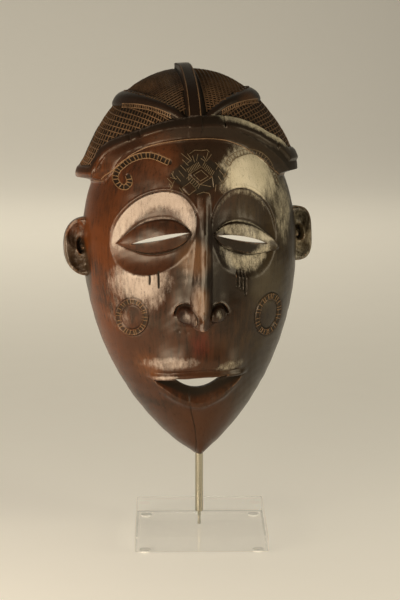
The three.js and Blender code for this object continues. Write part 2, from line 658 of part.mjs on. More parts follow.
// Half dish on one side of the head: a back that lies near the rim plane and a hollow front
function earSolid({ side, z, tall, wide, squareness }) {
  const grid = [];
  for (let ring = 0; ring <= EAR_RINGS; ring += 1) {
    const reach = (ring / EAR_RINGS) ** EAR_RING_POWER;
    for (let spoke = 0; spoke <= EAR_SPOKES; spoke += 1) {
      const angle = Math.PI * (spoke / EAR_SPOKES) - Math.PI / 2;
      const [up, out] = superellipse(angle, squareness);
      const x = side * (EAR_ROOT_X + wide * reach * out);
      const height = z + tall * reach * up;
      let front = EAR_RIM_DEPTH - EAR_ROOT_FALL * (1 - reach);
      front -= EAR_RIM_FALL * smooth(EAR_RIM_ROUND, 1, reach);
      for (const bowl of EAR_BOWLS) {
        const away = Math.hypot((reach * out - bowl.out) / bowl.wide, (reach * up - bowl.up) / bowl.tall);
        front -= bowl.deep * (1 - smooth(...EAR_BOWL_EDGE, away)) ** EAR_BOWL_POWER;
      }
      grid.push({ x, height, front: front * lerp(1, EAR_OUTER_SHARE, Math.cos(angle)) });
    }
  }
  const spokes = EAR_SPOKES + 1;
  const positions = [];
  for (const p of grid) positions.push(p.x, -p.front, p.height);
  for (const p of grid) positions.push(p.x, -EAR_BACK_DEPTH, p.height);
  const back = grid.length;
  const faces = [];
  const quad = (a, b, c, d) => (side > 0 ? faces.push(a, b, c, a, c, d) : faces.push(a, c, b, a, d, c));
  for (let ring = 0; ring < EAR_RINGS; ring += 1) {
    for (let spoke = 0; spoke < EAR_SPOKES; spoke += 1) {
      const a = ring * spokes + spoke;
      quad(a, a + spokes, a + spokes + 1, a + 1);
      quad(back + a, back + a + 1, back + a + spokes + 1, back + a + spokes);
    }
  }
  const rim = EAR_RINGS * spokes;
  for (let spoke = 0; spoke < EAR_SPOKES; spoke += 1) {
    quad(rim + spoke, rim + back + spoke, rim + back + spoke + 1, rim + spoke + 1);
  }
  for (let ring = 0; ring < EAR_RINGS; ring += 1) {
    const low = ring * spokes;
    const high = low + EAR_SPOKES;
    quad(low, low + back, low + spokes + back, low + spokes);
    quad(high, high + spokes, high + spokes + back, high + back);
  }
  return toManifold(indexed(positions, faces));
}

function cylinderSolid(radius, length, sides, place) {
  const cylinder = new THREE.CylinderGeometry(radius, radius, length, sides);
  cylinder.applyMatrix4(place);
  return toManifold(cylinder);
}

function earCanal({ side, z }) {
  const place = new THREE.Matrix4().makeTranslation(
    side * (EAR_ROOT_X + EAR_CANAL_OUT), -(EAR_CANAL_FLOOR + EAR_CANAL_RUNOUT), z + EAR_CENTRE_LIFT,
  );
  return cylinderSolid(EAR_CANAL_RADIUS, 2 * EAR_CANAL_RUNOUT, ROUND_SIDES / 2, place);
}

function earKnob({ side, z }) {
  const knob = new THREE.SphereGeometry(EAR_KNOB_RADIUS, 8, 6);
  knob.translate(side * (EAR_ROOT_X + EAR_KNOB_OUT), -(EAR_CANAL_FLOOR + EAR_KNOB_LIFT), z + EAR_CENTRE_LIFT);
  return toManifold(knob);
}

// A band that stands proud of the cheek: a ring-shaped prism cut by the face pushed forward
function cheekRing({ x, z, wide, tall, lean }) {
  const shape = new THREE.Shape();
  shape.absellipse(x, z, wide, tall, 0, Math.PI * 2, false, rad(lean));
  const hole = new THREE.Path();
  hole.absellipse(x, z, wide - RING_BAND, tall - RING_BAND, 0, Math.PI * 2, true, rad(lean));
  shape.holes.push(hole);
  const prism = new THREE.ExtrudeGeometry(shape, {
    depth: CUT_FRONT, bevelEnabled: false, curveSegments: RING_SIDES,
  });
  prism.rotateX(Math.PI / 2);
  return toManifold(prism);
}

const maskPose = new THREE.Matrix4()
  .makeRotationFromEuler(new THREE.Euler(rad(-MASK_LEAN), rad(-MASK_TIP), rad(MASK_TURN), 'ZYX'))
  .setPosition(ROD_X, ROD_Y, CHIN_HEIGHT)
  .multiply(new THREE.Matrix4().makeTranslation(0, ROD_DEPTH_IN_CHIN, 0));

function rodHoleInChin() {
  const length = ROD_IN_CHIN + GAP + 2 * HOLE_RUNOUT;
  const place = new THREE.Matrix4()
    .makeTranslation(ROD_X, ROD_Y, CHIN_HEIGHT + ROD_IN_CHIN + GAP - length / 2)
    .multiply(new THREE.Matrix4().makeRotationX(Math.PI / 2));
  place.premultiply(maskPose.clone().invert());
  return cylinderSolid(ROD_RADIUS + GAP, length, ROUND_SIDES, place);
}

function maskGeometry() {
  const outer = outerSolid();
  const forward = outer.translate([0, -RING_PROUD, 0]);
  let mask = outer;
  for (const ring of CHEEK_RINGS) mask = mask.add(cheekRing(ring).intersect(forward));
  for (const ear of EARS) mask = mask.add(earSolid(ear).subtract(earCanal(ear)).add(earKnob(ear)));
  mask = mask.subtract(hollowSolid());
  for (const eye of EYES) mask = mask.subtract(frontPrism(slitShape(eye.slit), eye.slit.slant));
  mask = mask.subtract(frontPrism(openingShape(), 0));
  return toGeometry(mask.subtract(rodHoleInChin()));
}

function blockGeometry() {
  const flat = BLOCK_SIDE - 2 * BLOCK_EDGE;
  const shape = new THREE.Shape();
  shape.moveTo(-flat / 2, -flat / 2);
  shape.lineTo(flat / 2, -flat / 2);
  shape.lineTo(flat / 2, flat / 2);
  shape.lineTo(-flat / 2, flat / 2);
  const slab = new THREE.ExtrudeGeometry(shape, {
    depth: BLOCK_HEIGHT - 2 * BLOCK_EDGE,
    bevelThickness: BLOCK_EDGE,
    bevelSize: BLOCK_EDGE,
    bevelSegments: 1,
  });
  slab.translate(0, 0, BLOCK_EDGE);
  const length = PIN_HOLE_DEPTH + HOLE_RUNOUT;
  const place = new THREE.Matrix4()
    .makeTranslation(ROD_X, ROD_Y, BLOCK_HEIGHT - PIN_HOLE_DEPTH + length / 2)
    .multiply(new THREE.Matrix4().makeRotationX(Math.PI / 2));
  return toGeometry(toManifold(slab).subtract(cylinderSolid(PIN_RADIUS + GAP, length, ROUND_SIDES, place)));
}

// Round bar with a thin pin at its lower end
function rodGeometry(pinLength, barLength) {
  const profile = [
    new THREE.Vector2(0, 0),
    new THREE.Vector2(PIN_RADIUS, 0),
    new THREE.Vector2(PIN_RADIUS, pinLength),
    new THREE.Vector2(ROD_RADIUS, pinLength),
    new THREE.Vector2(ROD_RADIUS, pinLength + barLength),
    new THREE.Vector2(0, pinLength + barLength),
  ];
  return new THREE.LatheGeometry(profile, ROUND_SIDES).rotateX(Math.PI / 2);
}

function footGeometry() {
  const round = FOOT_HEIGHT * FOOT_ROUND_SHARE;
  const profile = [
    new THREE.Vector2(0, 0),
    new THREE.Vector2(FOOT_TIP_RADIUS, 0),
    new THREE.Vector2(FOOT_RADIUS, round),
    new THREE.Vector2(FOOT_RADIUS, FOOT_HEIGHT),
    new THREE.Vector2(0, FOOT_HEIGHT),
  ];
  return new THREE.LatheGeometry(profile, ROUND_SIDES / 2).rotateX(Math.PI / 2);
}

const WOOD = { color: 0x35201a, roughness: 0.38, metalness: 0 };
const STEEL = { color: 0x9a958c, roughness: 0.35, metalness: 1 };
const ACRYLIC = { color: 0xe6e0d0, roughness: 0.06, metalness: 0, transparent: true, opacity: 0.35 };

const object = new THREE.Group();

function addPiece(parent, name, geometry, finish) {
  const mesh = new THREE.Mesh(geometry, new THREE.MeshStandardMaterial(finish));
  mesh.name = name;
  parent.add(mesh);
  return mesh;
}

const blockBottom = FOOT_HEIGHT + GAP;
const block = addPiece(object, 'base_block', blockGeometry(), ACRYLIC);
block.position.z = blockBottom;

const footCorners = { front_left: [-1, -1], front_right: [1, -1], back_left: [-1, 1], back_right: [1, 1] };
for (const [corner, [sideX, sideY]] of Object.entries(footCorners)) {
  const foot = addPiece(object, `foot_${corner}`, footGeometry(), ACRYLIC);
  const reach = BLOCK_SIDE / 2 - FOOT_INSET;
  foot.position.set(sideX * reach, sideY * reach, 0);
}

const barBottom = blockBottom + BLOCK_HEIGHT + GAP;
const barLength = CHIN_HEIGHT + ROD_IN_CHIN - barBottom;
const rod = addPiece(object, 'rod', rodGeometry(PIN_HOLE_DEPTH, barLength), STEEL);
rod.position.set(ROD_X, ROD_Y, barBottom - PIN_HOLE_DEPTH);

const mask = addPiece(object, 'mask', maskGeometry(), WOOD);
mask.applyMatrix4(maskPose);

// The origin is under the middle of the whole object, on the surface that it stands on
const extent = new THREE.Box3().setFromObject(object, true);
const middle = extent.getCenter(new THREE.Vector3());
object.position.set(-middle.x, -middle.y, -extent.min.z);

export default object;
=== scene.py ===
"""A carved wooden face mask with a ribbed cap, held by a steel rod in a clear acrylic block.

The mask has its own frame, in millimetres: x across, d forward of its flat rim and z up from
the chin. Its place is worked out from the stand, and every finished mesh is in metres.
"""

import logging
import math
from dataclasses import dataclass, field, replace
from enum import Enum
from typing import Any, Callable, Sequence

import bmesh
import bpy
import numpy as np
from mathutils import Matrix, Vector
from mathutils.bvhtree import BVHTree
from mathutils.kdtree import KDTree


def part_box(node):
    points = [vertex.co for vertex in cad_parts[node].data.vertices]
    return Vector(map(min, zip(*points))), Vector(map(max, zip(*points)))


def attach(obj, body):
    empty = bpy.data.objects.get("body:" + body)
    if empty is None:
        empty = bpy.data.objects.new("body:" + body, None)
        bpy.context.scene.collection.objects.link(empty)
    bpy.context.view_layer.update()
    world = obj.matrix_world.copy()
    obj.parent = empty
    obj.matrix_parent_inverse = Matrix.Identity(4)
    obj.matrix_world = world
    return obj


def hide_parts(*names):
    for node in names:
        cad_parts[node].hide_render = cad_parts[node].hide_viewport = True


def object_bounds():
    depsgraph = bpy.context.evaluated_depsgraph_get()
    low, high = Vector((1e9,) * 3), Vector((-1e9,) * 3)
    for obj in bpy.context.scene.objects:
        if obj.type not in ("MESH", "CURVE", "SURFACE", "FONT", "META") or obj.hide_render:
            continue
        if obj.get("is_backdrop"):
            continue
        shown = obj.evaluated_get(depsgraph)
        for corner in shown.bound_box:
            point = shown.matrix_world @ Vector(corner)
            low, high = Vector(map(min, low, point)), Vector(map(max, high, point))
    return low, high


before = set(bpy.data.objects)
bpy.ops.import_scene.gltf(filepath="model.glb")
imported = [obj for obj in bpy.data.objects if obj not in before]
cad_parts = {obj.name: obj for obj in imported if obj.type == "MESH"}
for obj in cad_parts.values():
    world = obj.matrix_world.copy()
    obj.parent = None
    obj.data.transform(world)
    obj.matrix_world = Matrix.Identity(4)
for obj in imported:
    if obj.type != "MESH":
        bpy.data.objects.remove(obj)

Array = np.ndarray
Arrays = tuple[Array, Array]
Pair = tuple[float, float]
Triple = tuple[float, float, float]
Colour = Triple
Faces = list[tuple[int, ...]]
MM = 0.001
HALF_TURN = math.pi / 2
LOG = logging.getLogger("mask")
BODY = "root"
USUAL_DEPTH = 72.0
BEHIND = 5.0
PATH_STEPS = 24
OUTSIDE = -9.0


def smooth(start: float | Array, end: float | Array, value: Array) -> Array:
    """Eased step from 0 to 1 as value goes from start to end, in either direction.

    Args:
        start: where the step begins.
        end: where it is done.
        value: the values to step.

    Returns:
        The share for each value.
    """
    share = np.clip((value - start) / (end - start), 0, 1)
    return share * share * (3 - 2 * share)


def mix(a: Any, b: Any, share: Any) -> Any:
    """Straight mix of a and b."""
    return a + (b - a) * share


def bell(distance: Array, width: float) -> Array:
    """Soft bump of height 1 that falls off over width."""
    return np.exp(-((distance / width) ** 2))


def own_axes(x: Array, z: Array, degrees: float) -> Arrays:
    """Parts of an offset along and aside of a direction that leans."""
    turn = math.radians(degrees)
    return x * math.cos(turn) + z * math.sin(turn), z * math.cos(turn) - x * math.sin(turn)


def leaning(centre: Pair, along: float, aside: float, degrees: float) -> Pair:
    """The place along and aside of a direction that leans, from a centre."""
    turn = math.radians(degrees)
    return (centre[0] + along * math.cos(turn) - aside * math.sin(turn),
            centre[1] + along * math.sin(turn) + aside * math.cos(turn))


def arc(start: Pair, pull: Pair, end: Pair, count: int) -> list[Pair]:
    """Places on a quadratic curve, without its end."""
    return [tuple((1 - t) ** 2 * start[i] + 2 * t * (1 - t) * pull[i] + t * t * end[i] for i in range(2))
            for t in np.linspace(0, 1, count, endpoint=False)]


def superellipse(angle: Array, squareness: Array | float) -> Arrays:
    """Point on a unit superellipse.

    Args:
        angle: turn from straight ahead, in radians.
        squareness: power of the outline, 2 for a circle.

    Returns:
        The parts across and ahead.
    """
    across, ahead = np.sin(angle), np.cos(angle)
    reach = (np.abs(across) ** squareness + np.abs(ahead) ** squareness) ** (-1 / squareness)
    return reach * across, reach * ahead


def along_path(x: Array, z: Array, path: Any) -> tuple[Array, Array, float]:
    """Where points lie beside a path of straight pieces.

    Args:
        x: the points' places across.
        z: the points' heights.
        path: the path's corners.

    Returns:
        Each point's distance from the path and along it, and the path's whole length.
    """
    corners = np.array(path, float)
    best = np.full(np.shape(x), 1e9)
    where = np.zeros(np.shape(x))
    run = 0.0
    for a, b in zip(corners[:-1], corners[1:]):
        step = b - a
        length = float(np.hypot(*step))
        t = np.clip(((x - a[0]) * step[0] + (z - a[1]) * step[1]) / length**2, 0, 1)
        gap = np.hypot(x - a[0] - t * step[0], z - a[1] - t * step[1])
        nearer = gap < best
        best = np.where(nearer, gap, best)
        where = np.where(nearer, run + t * length, where)
        run += length
    return best, where, run


def run_along(path: Array) -> Array:
    """Distance along a flat path at each of its places."""
    return np.concatenate([[0], np.cumsum(np.hypot(*np.diff(path, axis=0).T))])


def closed_path(corners: Array, count: int) -> Array:
    """The outline of some corners, with count places on each side."""
    return np.vstack([np.linspace(a, b, count) for a, b in zip(corners, np.roll(corners, -1, axis=0))])


def smooth_path(points: Sequence[Pair], spacing: float) -> Array:
    """A curve through the points, as evenly spaced places.

    Args:
        points: the places that the curve passes through.
        spacing: distance between the places returned.

    Returns:
        An array of places, one row each.
    """
    p = np.array(points, float)
    ends = np.vstack([2 * p[0] - p[1], p, 2 * p[-1] - p[-2]])
    fine = []
    for i in range(len(p) - 1):
        a, b, c, d = ends[i : i + 4]
        t = np.linspace(0, 1, PATH_STEPS, endpoint=False)[:, None]
        fine.append(0.5 * (2 * b + (c - a) * t + (2 * a - 5 * b + 4 * c - d) * t**2
                           + (3 * b - a - 3 * c + d) * t**3))
    curve = np.vstack([*fine, p[-1:]])
    run = run_along(curve)
    places = np.linspace(0, run[-1], max(2, round(run[-1] / spacing) + 1))
    return np.column_stack([np.interp(places, run, curve[:, i]) for i in range(2)])


@dataclass(frozen=True)
class Head:
    """The plain head under all carving, wide at the temples and pointed at the chin."""

    half_width: float = 81.9
    widest: float = 165.5
    jaw_power: float = 0.73
    temple_fall: float = 6.07
    temple_span: float = 40
    chin_half: float = 4.2
    chin_fade: float = 30
    chin_depth: float = 16
    depth: float = 82
    deepest: float = 200
    profile_power: float = 0.8
    crown: float = 294
    crown_power: float = 2.1
    squareness: Pair = (1.85, 2.25)
    squared_by: float = 150
    sway: float = -0.9

    def half(self, z: Array) -> Array:
        """Half width at a height.

        Args:
            z: heights above the chin.

        Returns:
            The half widths.
        """
        rise = np.clip(z / self.widest, 0, 1) ** self.jaw_power
        chin = self.chin_half * np.clip(1 - z / self.chin_fade, 0, 1)
        jaw = np.hypot(self.half_width * np.sin(HALF_TURN * rise), chin)
        temple = self.half_width - self.temple_fall * ((z - self.widest) / self.temple_span) ** 2
        return np.maximum(np.where(z > self.widest, temple, jaw), 0)

    def ahead(self, z: Array) -> Array:
        """Depth of the profile at a height.

        Args:
            z: heights above the chin.

        Returns:
            The depths.
        """
        rise = np.sin(HALF_TURN * np.clip(z / self.deepest, 0, 1) ** self.profile_power)
        low = self.chin_depth + (self.depth - self.chin_depth) * rise
        t = np.clip((z - self.deepest) / (self.crown - self.deepest), 0, 1)
        high = self.depth * (1 - t**self.crown_power) ** (1 / self.crown_power)
        return np.where(z < self.deepest, low, high)

    def section(self, angle: Array, z: Array) -> Arrays:
        """The section's outline as parts across and ahead, for a half width and depth of 1."""
        return superellipse(angle, mix(*self.squareness, np.clip(z / self.squared_by, 0, 1)))

    def point(self, angle: Array, z: Array) -> Arrays:
        """Place across and depth on the head, by turn from straight ahead and height above the chin."""
        across, ahead = self.section(angle, z)
        return self.half(z) * across + self.sway * np.sin(math.pi * z / self.crown), self.ahead(z) * ahead


@dataclass(frozen=True)
class Cap:
    """The dome that stands proud of the forehead."""

    base: float = 222
    rise: float = 73.5
    half_width: float = 82.5
    side_power: float = 1.26
    side_round: float = 2.25
    depth: float = 85
    front_power: float = 1.9
    squareness: float = 2.15
    shift: float = 0.7
    shift_height: float = 25
    flare: Pair = (3.2, 1.6)
    seen: float = 0.9
    side_reach: float = 38
    under_crown: float = 0.9995

    @property
    def top(self) -> float:
        """Height of the crown."""
        return self.base + self.rise

    def sizes(self, z: Array, limit: float) -> Arrays:
        """Half width and depth at heights.

        Args:
            z: heights.
            limit: share of the rise under which they are held.

        Returns:
            The half widths and the depths.
        """
        t = np.clip((z - self.base) / self.rise, 0, limit)
        half = self.half_width * (1 - t**self.side_power) ** (1 / self.side_round)
        return half, self.depth * np.sqrt(1 - t**self.front_power)

    def point(self, angle: Array, z: Array) -> Arrays:
        """Place on the cap.

        Args:
            angle: turn from straight ahead.
            z: height above the chin.

        Returns:
            The place across and the depth.
        """
        half, depth = self.sizes(z, 1)
        across, ahead = superellipse(angle, self.squareness)
        flare = mix(*self.flare, smooth(-0.5, 0.5, across)) * smooth(self.base + 12, self.base - 5, z)
        shift = self.shift * smooth(self.base - 5, self.base + self.shift_height, z)
        return (half + flare) * across + shift, depth * ahead

    def angle_on(self, x: Array, z: Array) -> Array:
        """Turn from straight ahead of places on the cap, evenly spaced where the cap turns away.

        Args:
            x: places across.
            z: heights.

        Returns:
            The angles.
        """
        half, _ = self.sizes(z, self.under_crown)
        across = (x - self.shift) / half
        seen = np.clip(across, -self.seen, self.seen)
        ahead = (1 - np.abs(seen) ** self.squareness) ** (1 / self.squareness)
        return np.arctan2(seen, ahead) + (across - seen) * half / self.side_reach

    def angle_at(self, x: Array, d: Array, z: Array) -> Array:
        """Turn from straight ahead of places on the cap."""
        half, depth = self.sizes(z, self.under_crown)
        return np.arctan2((x - self.shift) / half, np.maximum(d, 0) / depth)


@dataclass(frozen=True)
class BrimSide:
    """How one side of the brim falls away from the middle, and its cove's height."""

    fall: float
    power: float
    hook: float
    cove: float
    end: float

    def drop(self, share: Array) -> Array:
        """How far the brim lies below its middle."""
        return self.fall * share**self.power + self.hook * share**8

    def rise(self, middle: float, share: Array) -> Array:
        """Height of the cove, from its height in the middle."""
        return mix(middle, self.cove, smooth(0.15, 0.75, share)) + self.end * smooth(0.75, 1, share)


@dataclass(frozen=True)
class Brim:
    """The cap's lower edge: a thin ridge on the forehead, a cove, and a bead."""

    top: float = 242.4
    centre: float = -3.85
    half_width: float = 70.5
    reach: float = 1.04
    left: BrimSide = BrimSide(8.7, 2, 14.5, 4.2, 1.2)
    right: BrimSide = BrimSide(25.8, 3, 0, 6.6, 4)
    step: Pair = (6.5, 2.6)
    cove: float = 8.6
    bead: Pair = (5.8, 8.6)
    proud: float = 1.8
    ridge: float = 0.7
    ridge_width: float = 0.9
    nicks: tuple[float, ...] = (-50.5, -43.5, 17.5, 58.5)
    nick_width: float = 0.7
    nick_depth: float = 0.8
    raised: float = 0.16

    def edge(self, x: Array) -> Array:
        """Height of the thin ridge at a place across."""
        share = np.minimum(np.abs(x - self.centre) / self.half_width, self.reach)
        return self.top - np.where(x < self.centre, self.left.drop(share), self.right.drop(share))

    def heights(self, x: Array) -> Arrays:
        """How far the brim takes to step out, and how far up its bead lies.

        Args:
            x: places across.

        Returns:
            The step's height and the cove's.
        """
        share = np.abs(x - self.centre) / self.half_width
        cove = np.where(x < self.centre, self.left.rise(self.cove, share), self.right.rise(self.cove, share))
        return mix(*self.step, smooth(0.2, 0.8, share)), cove

    def bead_height(self, x: Array) -> Array:
        """Height of the bead, taller on the right."""
        return mix(*self.bead, smooth(-45, 30, x))

    def bead_top(self, x: Array) -> Array:
        """Height of the bead's upper edge above the chin."""
        return self.edge(x) + self.heights(x)[1] + self.bead_height(x)

    def bead_relief(self, x: Array, z: Array) -> Array:
        """How far the bead stands out, with its cuts.

        Args:
            x: places across.
            z: heights.

        Returns:
            The relief.
        """
        half = self.bead_height(x) / 2
        above = z - self.bead_top(x) + half
        bead = self.proud * np.maximum(0, 1 - (above / (half + 0.7)) ** 6)
        for place in self.nicks:
            bead = bead * (1 - self.nick_depth * bell(x - place, self.nick_width))
        stepped = smooth(16.5, 19, x) - smooth(-43, -45, x)
        return bead * (1 + self.raised * stepped)


@dataclass(frozen=True)
class CapRibs:
    """The flat crest over the middle and the round rib on each side."""

    crest_half: float = 5.4
    crown: float = 295.5
    crest_proud: float = 2.6
    crest_foot: float = -5.2
    crest_top: float = -1.4
    nub: float = 1.7
    nub_height: float = 9
    rib_proud: float = 3
    rib_start: float = 249.5
    rib_rise: float = 25.5
    rib_turn: float = 0.35
    rib_side: float = -0.07
    rib_half: Pair = (3.4, 5.2)
    panel_sunk: float = 0.5

    def crest_x(self, z: Array, brim: Brim) -> Array:
        """Middle of the crest at a height."""
        return mix(self.crest_foot, self.crest_top, np.clip((z - brim.top) / 50, 0, 1))

    def crest(self, x: Array, z: Array, brim: Brim) -> Array:
        """How far the crest stands out.

        Args:
            x: places across.
            z: heights.
            brim: the brim that it ends on.

        Returns:
            The relief.
        """
        reach = np.abs(x - self.crest_x(z, brim)) / self.crest_half
        proud = self.crest_proud + self.nub * smooth(self.nub_height, 0, self.crown - z)
        return proud * (1 - smooth(0.82, 1.03, reach)) * (z > brim.edge(x))

    def rib(self, angle: Array) -> tuple[Array, Array, Array]:
        """The side rib at an angle round the cap.

        Args:
            angle: turn from straight ahead.

        Returns:
            The turn as a share of a quarter, the rib's half thickness and its middle's height.
        """
        turn = np.abs(angle - self.rib_side)
        half = mix(*self.rib_half, smooth(0.4, 1.4, turn))
        return turn / HALF_TURN, half, self.rib_start + self.rib_rise * (1 - np.exp(-turn / self.rib_turn))

    def side(self, angle: Array, z: Array) -> Array:
        """How far the side rib stands out.

        Args:
            angle: turn from straight ahead.
            z: heights.

        Returns:
            The relief.
        """
        turn, half, centre = self.rib(angle)
        reach = np.minimum(np.abs(z - centre) / half, 1)
        return self.rib_proud * smooth(0.04, 0.14, turn) * (1 - reach * reach) ** 0.7


@dataclass(frozen=True)
class Eye:
    """A socket as a leaning ellipse, two lids as one pointed mound, and a slit right through."""

    socket: tuple[float, ...]
    lids: tuple[float, ...]
    outer: Pair
    inner: Pair
    bow: float
    opened: float
    slant: float = 0
    socket_depth: float = 6.2
    bowl: Pair = (0.5, 0.42)
    lid_proud: float = 5.2
    lid_rim: float = 0.42
    edge_line: float = 0.5
    brow_cut: float = 0.7
    brow_edge: float = 0.25
    corner_powers: Pair = (3.0, 2.1)

    def socket_reach(self, x: Array, z: Array) -> Array:
        """Distance from the socket's middle, 1 at its edge.

        Args:
            x: places across.
            z: heights.

        Returns:
            The distances.
        """
        sx, sz, long, short, lean = self.socket
        along, aside = own_axes(x - sx, z - sz, lean)
        return np.hypot(along / long, aside / short)

    def lid_inside(self, x: Array, z: Array) -> Arrays:
        """Where a place lies on the lids.

        Args:
            x: places across.
            z: heights.

        Returns:
            The share in from the lids' outline, below 0 outside, and the place along the eye.
        """
        lx, lz, half, up, down, tilt = self.lids
        along, v = own_axes(x - lx, z - lz, tilt)
        u = along / half
        power = np.where(u * math.copysign(1, -lx) > 0, *self.corner_powers)
        reach = np.where(v > 0, up, down) * np.maximum(1 - np.abs(u) ** power, 1e-3)
        return np.where(np.abs(u) < 1, 1 - np.abs(v) / reach, OUTSIDE), u

    def relief(self, x: Array, z: Array) -> Array:
        """Depth of the socket and height of the lids.

        Args:
            x: places across.
            z: heights.

        Returns:
            The relief.
        """
        reach = self.socket_reach(x, z)
        dz = z - self.socket[1]
        brow = smooth(-8, 12, dz)
        slope = np.clip((1 - reach) / (1 - mix(*self.bowl, brow)), 0, 1)
        hollow = -self.socket_depth * slope * (2 - slope)
        hollow = hollow - self.brow_cut * brow * bell(reach - 0.99, 0.014)
        hollow = hollow + self.brow_edge * brow * bell(reach - 1.04, 0.02)
        inside, u = self.lid_inside(x, z)
        shown = np.clip(inside, 0, 1)
        across = np.sqrt(np.clip(1 - u * u, 0, 1))
        rise = self.lid_rim * smooth(0, 0.14, shown) + (1 - self.lid_rim) * (1 - (1 - shown) ** 2)
        lid = self.lid_proud * across * rise
        line = self.edge_line * across * (bell(inside - 0.07, 0.06) - bell(inside + 0.09, 0.07))
        return hollow + lid + line

    def slit_outline(self) -> list[Pair]:
        """The slit's outline in the mask's front, as two shallow arcs.

        Returns:
            Its corners, as places across and up.
        """
        middle = ((self.outer[0] + self.inner[0]) / 2, (self.outer[1] + self.inner[1]) / 2 + self.bow)
        left, right = sorted([self.outer, self.inner])
        arcs = []
        for start, end, bend in ((left, right, -self.opened), (right, left, self.opened)):
            arcs += arc(start, (middle[0], middle[1] + bend), end, 20)
        return arcs


@dataclass(frozen=True)
class Nose:
    """A long straight ridge that widens to the tip, between two round wings."""

    top: float = 197
    tip: float = 108
    undercut: float = 3.5
    line: Pair = (-0.8, -5)
    half: Pair = (4.2, 7.4)
    proud: Pair = (2.5, 15)
    body_proud: float = 4
    body_half: float = 17
    valley: float = 4.6
    wings: tuple[tuple[float, ...], ...] = (
        (-15.2, 113.6, 6.9, 6.4, 5.6),
        (8.4, 112.8, 6.5, 6.2, 5.2),
    )
    furrow: float = 1.9
    furrow_edge: float = 0.7
    ridged: float = 0.55

    def ridge_reach(self, x: Array, z: Array) -> Arrays:
        """Distance from the ridge line in half widths, and the share of the way down."""
        down = np.clip((self.top - z) / (self.top - self.tip), 0, 1)
        return np.abs(x - mix(*self.line, down)) / mix(*self.half, down), down

    def relief(self, x: Array, z: Array) -> Array:
        """Height of the nose and depth of the valleys beside it.

        Args:
            x: places across.
            z: heights.

        Returns:
            The relief.
        """
        reach, down = self.ridge_reach(x, z)
        dx = reach * mix(*self.half, down)
        end = smooth(self.tip - self.undercut, self.tip, z) * smooth(self.top + 10, self.top - 4, z)
        roof = np.maximum(0, 1 - reach / 1.15) ** 0.8
        shape = mix(1 - smooth(0.25, 1.3, reach), roof, self.ridged)
        ridge = mix(*self.proud, down**1.15) * shape
        body = self.body_proud * down * (1 - smooth(0.2, 1, dx / self.body_half))
        valley = self.valley * bell(dx - 22, 11) * bell(z - 130, 24)
        relief = (ridge + body) * end - valley
        for wx, wz, half, tall, proud in self.wings:
            dz = (z - wz) / tall
            out = np.hypot((x - wx) / half, dz)
            dome = proud * np.sqrt(np.maximum(0, 1 - out * out))
            arch = smooth(-0.3, 0.3, dz)
            relief = relief + dome * smooth(-0.95, -0.6, dz) - self.furrow * bell(out - 1.18, 0.16) * arch
            relief = relief + self.furrow_edge * bell(out - 1.42, 0.1) * arch
        return relief


@dataclass(frozen=True)
class Mouth:
    """A bulging upper lip over a boat-shaped hollow with a thin rim."""

    x: float = -4.6
    half: float = 37
    scoop_half: float = 35
    lip_line: float = 65.2
    lip_crest: float = 67.2
    lip_proud: float = 3.2
    muzzle_height: float = 75
    muzzle_spread: float = 11
    muzzle_proud: float = 4.6
    scoop_bottom: float = 45
    scoop_power: float = 1.6
    scoop_depth: float = 9
    rim_proud: float = 1.8
    rim_line: float = 0.6
    groove: float = 1.1
    groove_height: float = 71.2
    left: Pair = (-23.4, 65.2)
    right: Pair = (17, 66.3)
    bottom: Pair = (-4.4, 55.8)
    sag: float = 1.1

    def in_scoop(self, x: Array, z: Array) -> tuple[Array, Array, Array]:
        """Where places lie in the hollow.

        Args:
            x: places across.
            z: heights.

        Returns:
            Share of the half width, the lower edge's height there and the share of the way up to the lip.
        """
        s = np.minimum(np.abs(x - self.x) / self.scoop_half, 1)
        bottom = mix(self.scoop_bottom, self.lip_line, s**self.scoop_power)
        return s, bottom, (z - bottom) / np.maximum(self.lip_line - bottom, 1)

    def relief(self, x: Array, z: Array) -> Array:
        """Height of the lips and depth of the hollow.

        Args:
            x: places across.
            z: heights.

        Returns:
            The relief.
        """
        u = np.abs(x - self.x) / self.half
        width = 1 - smooth(0.55, 1.12, u)
        muzzle = self.muzzle_proud * bell(z - self.muzzle_height, self.muzzle_spread) * width
        thick = mix(1.15, 0.7, smooth(-30, 5, x))
        lip = self.lip_proud * thick * bell(z - self.lip_crest, 3.2 * thick) * (1 - smooth(0.8, 1.05, u))
        groove = self.groove * bell(z - self.groove_height + 1.2 * u * u, 1.3) * (1 - smooth(0.7, 1.0, u))
        s, bottom, share = self.in_scoop(x, z)
        scoop = self.scoop_depth * smooth(0, 0.5, share) * smooth(1.1, 0.98, share) * (1 - s**4)
        rim = self.rim_proud * bell(z - bottom + 2.5, 3.2) * (1 - smooth(0.5, 1, s))
        edge = self.rim_line * bell(z - bottom + 0.3, 0.8) * (1 - smooth(0.8, 1, s)) * (z < self.lip_line - 2)
        held = np.where(share > 1, 1, smooth(0.7, 1, share))
        return np.where(u < 1.3, muzzle + (lip - groove) * held + rim + edge - scoop, 0)

    def inside(self, x: Array, z: Array) -> Array:
        """Share of the hollow below the lip, 1 well inside it."""
        s, _, share = self.in_scoop(x, z)
        return smooth(0.02, 0.3, share) * smooth(1.06, 0.98, share) * (s < 0.98)

    def opening_outline(self) -> list[Pair]:
        """The opening's outline: straight above, one arc below.

        Returns:
            Its corners, as places across and up.
        """
        pull = 2 * self.bottom[1] - (self.left[1] + self.right[1]) / 2
        lip = [(mix(self.left[0], self.right[0], t),
                mix(self.left[1], self.right[1], t) - self.sag * math.sin(math.pi * t))
               for t in np.linspace(1, 0, 10, endpoint=False)]
        return arc(self.left, (self.bottom[0], pull), self.right, 24) + lip


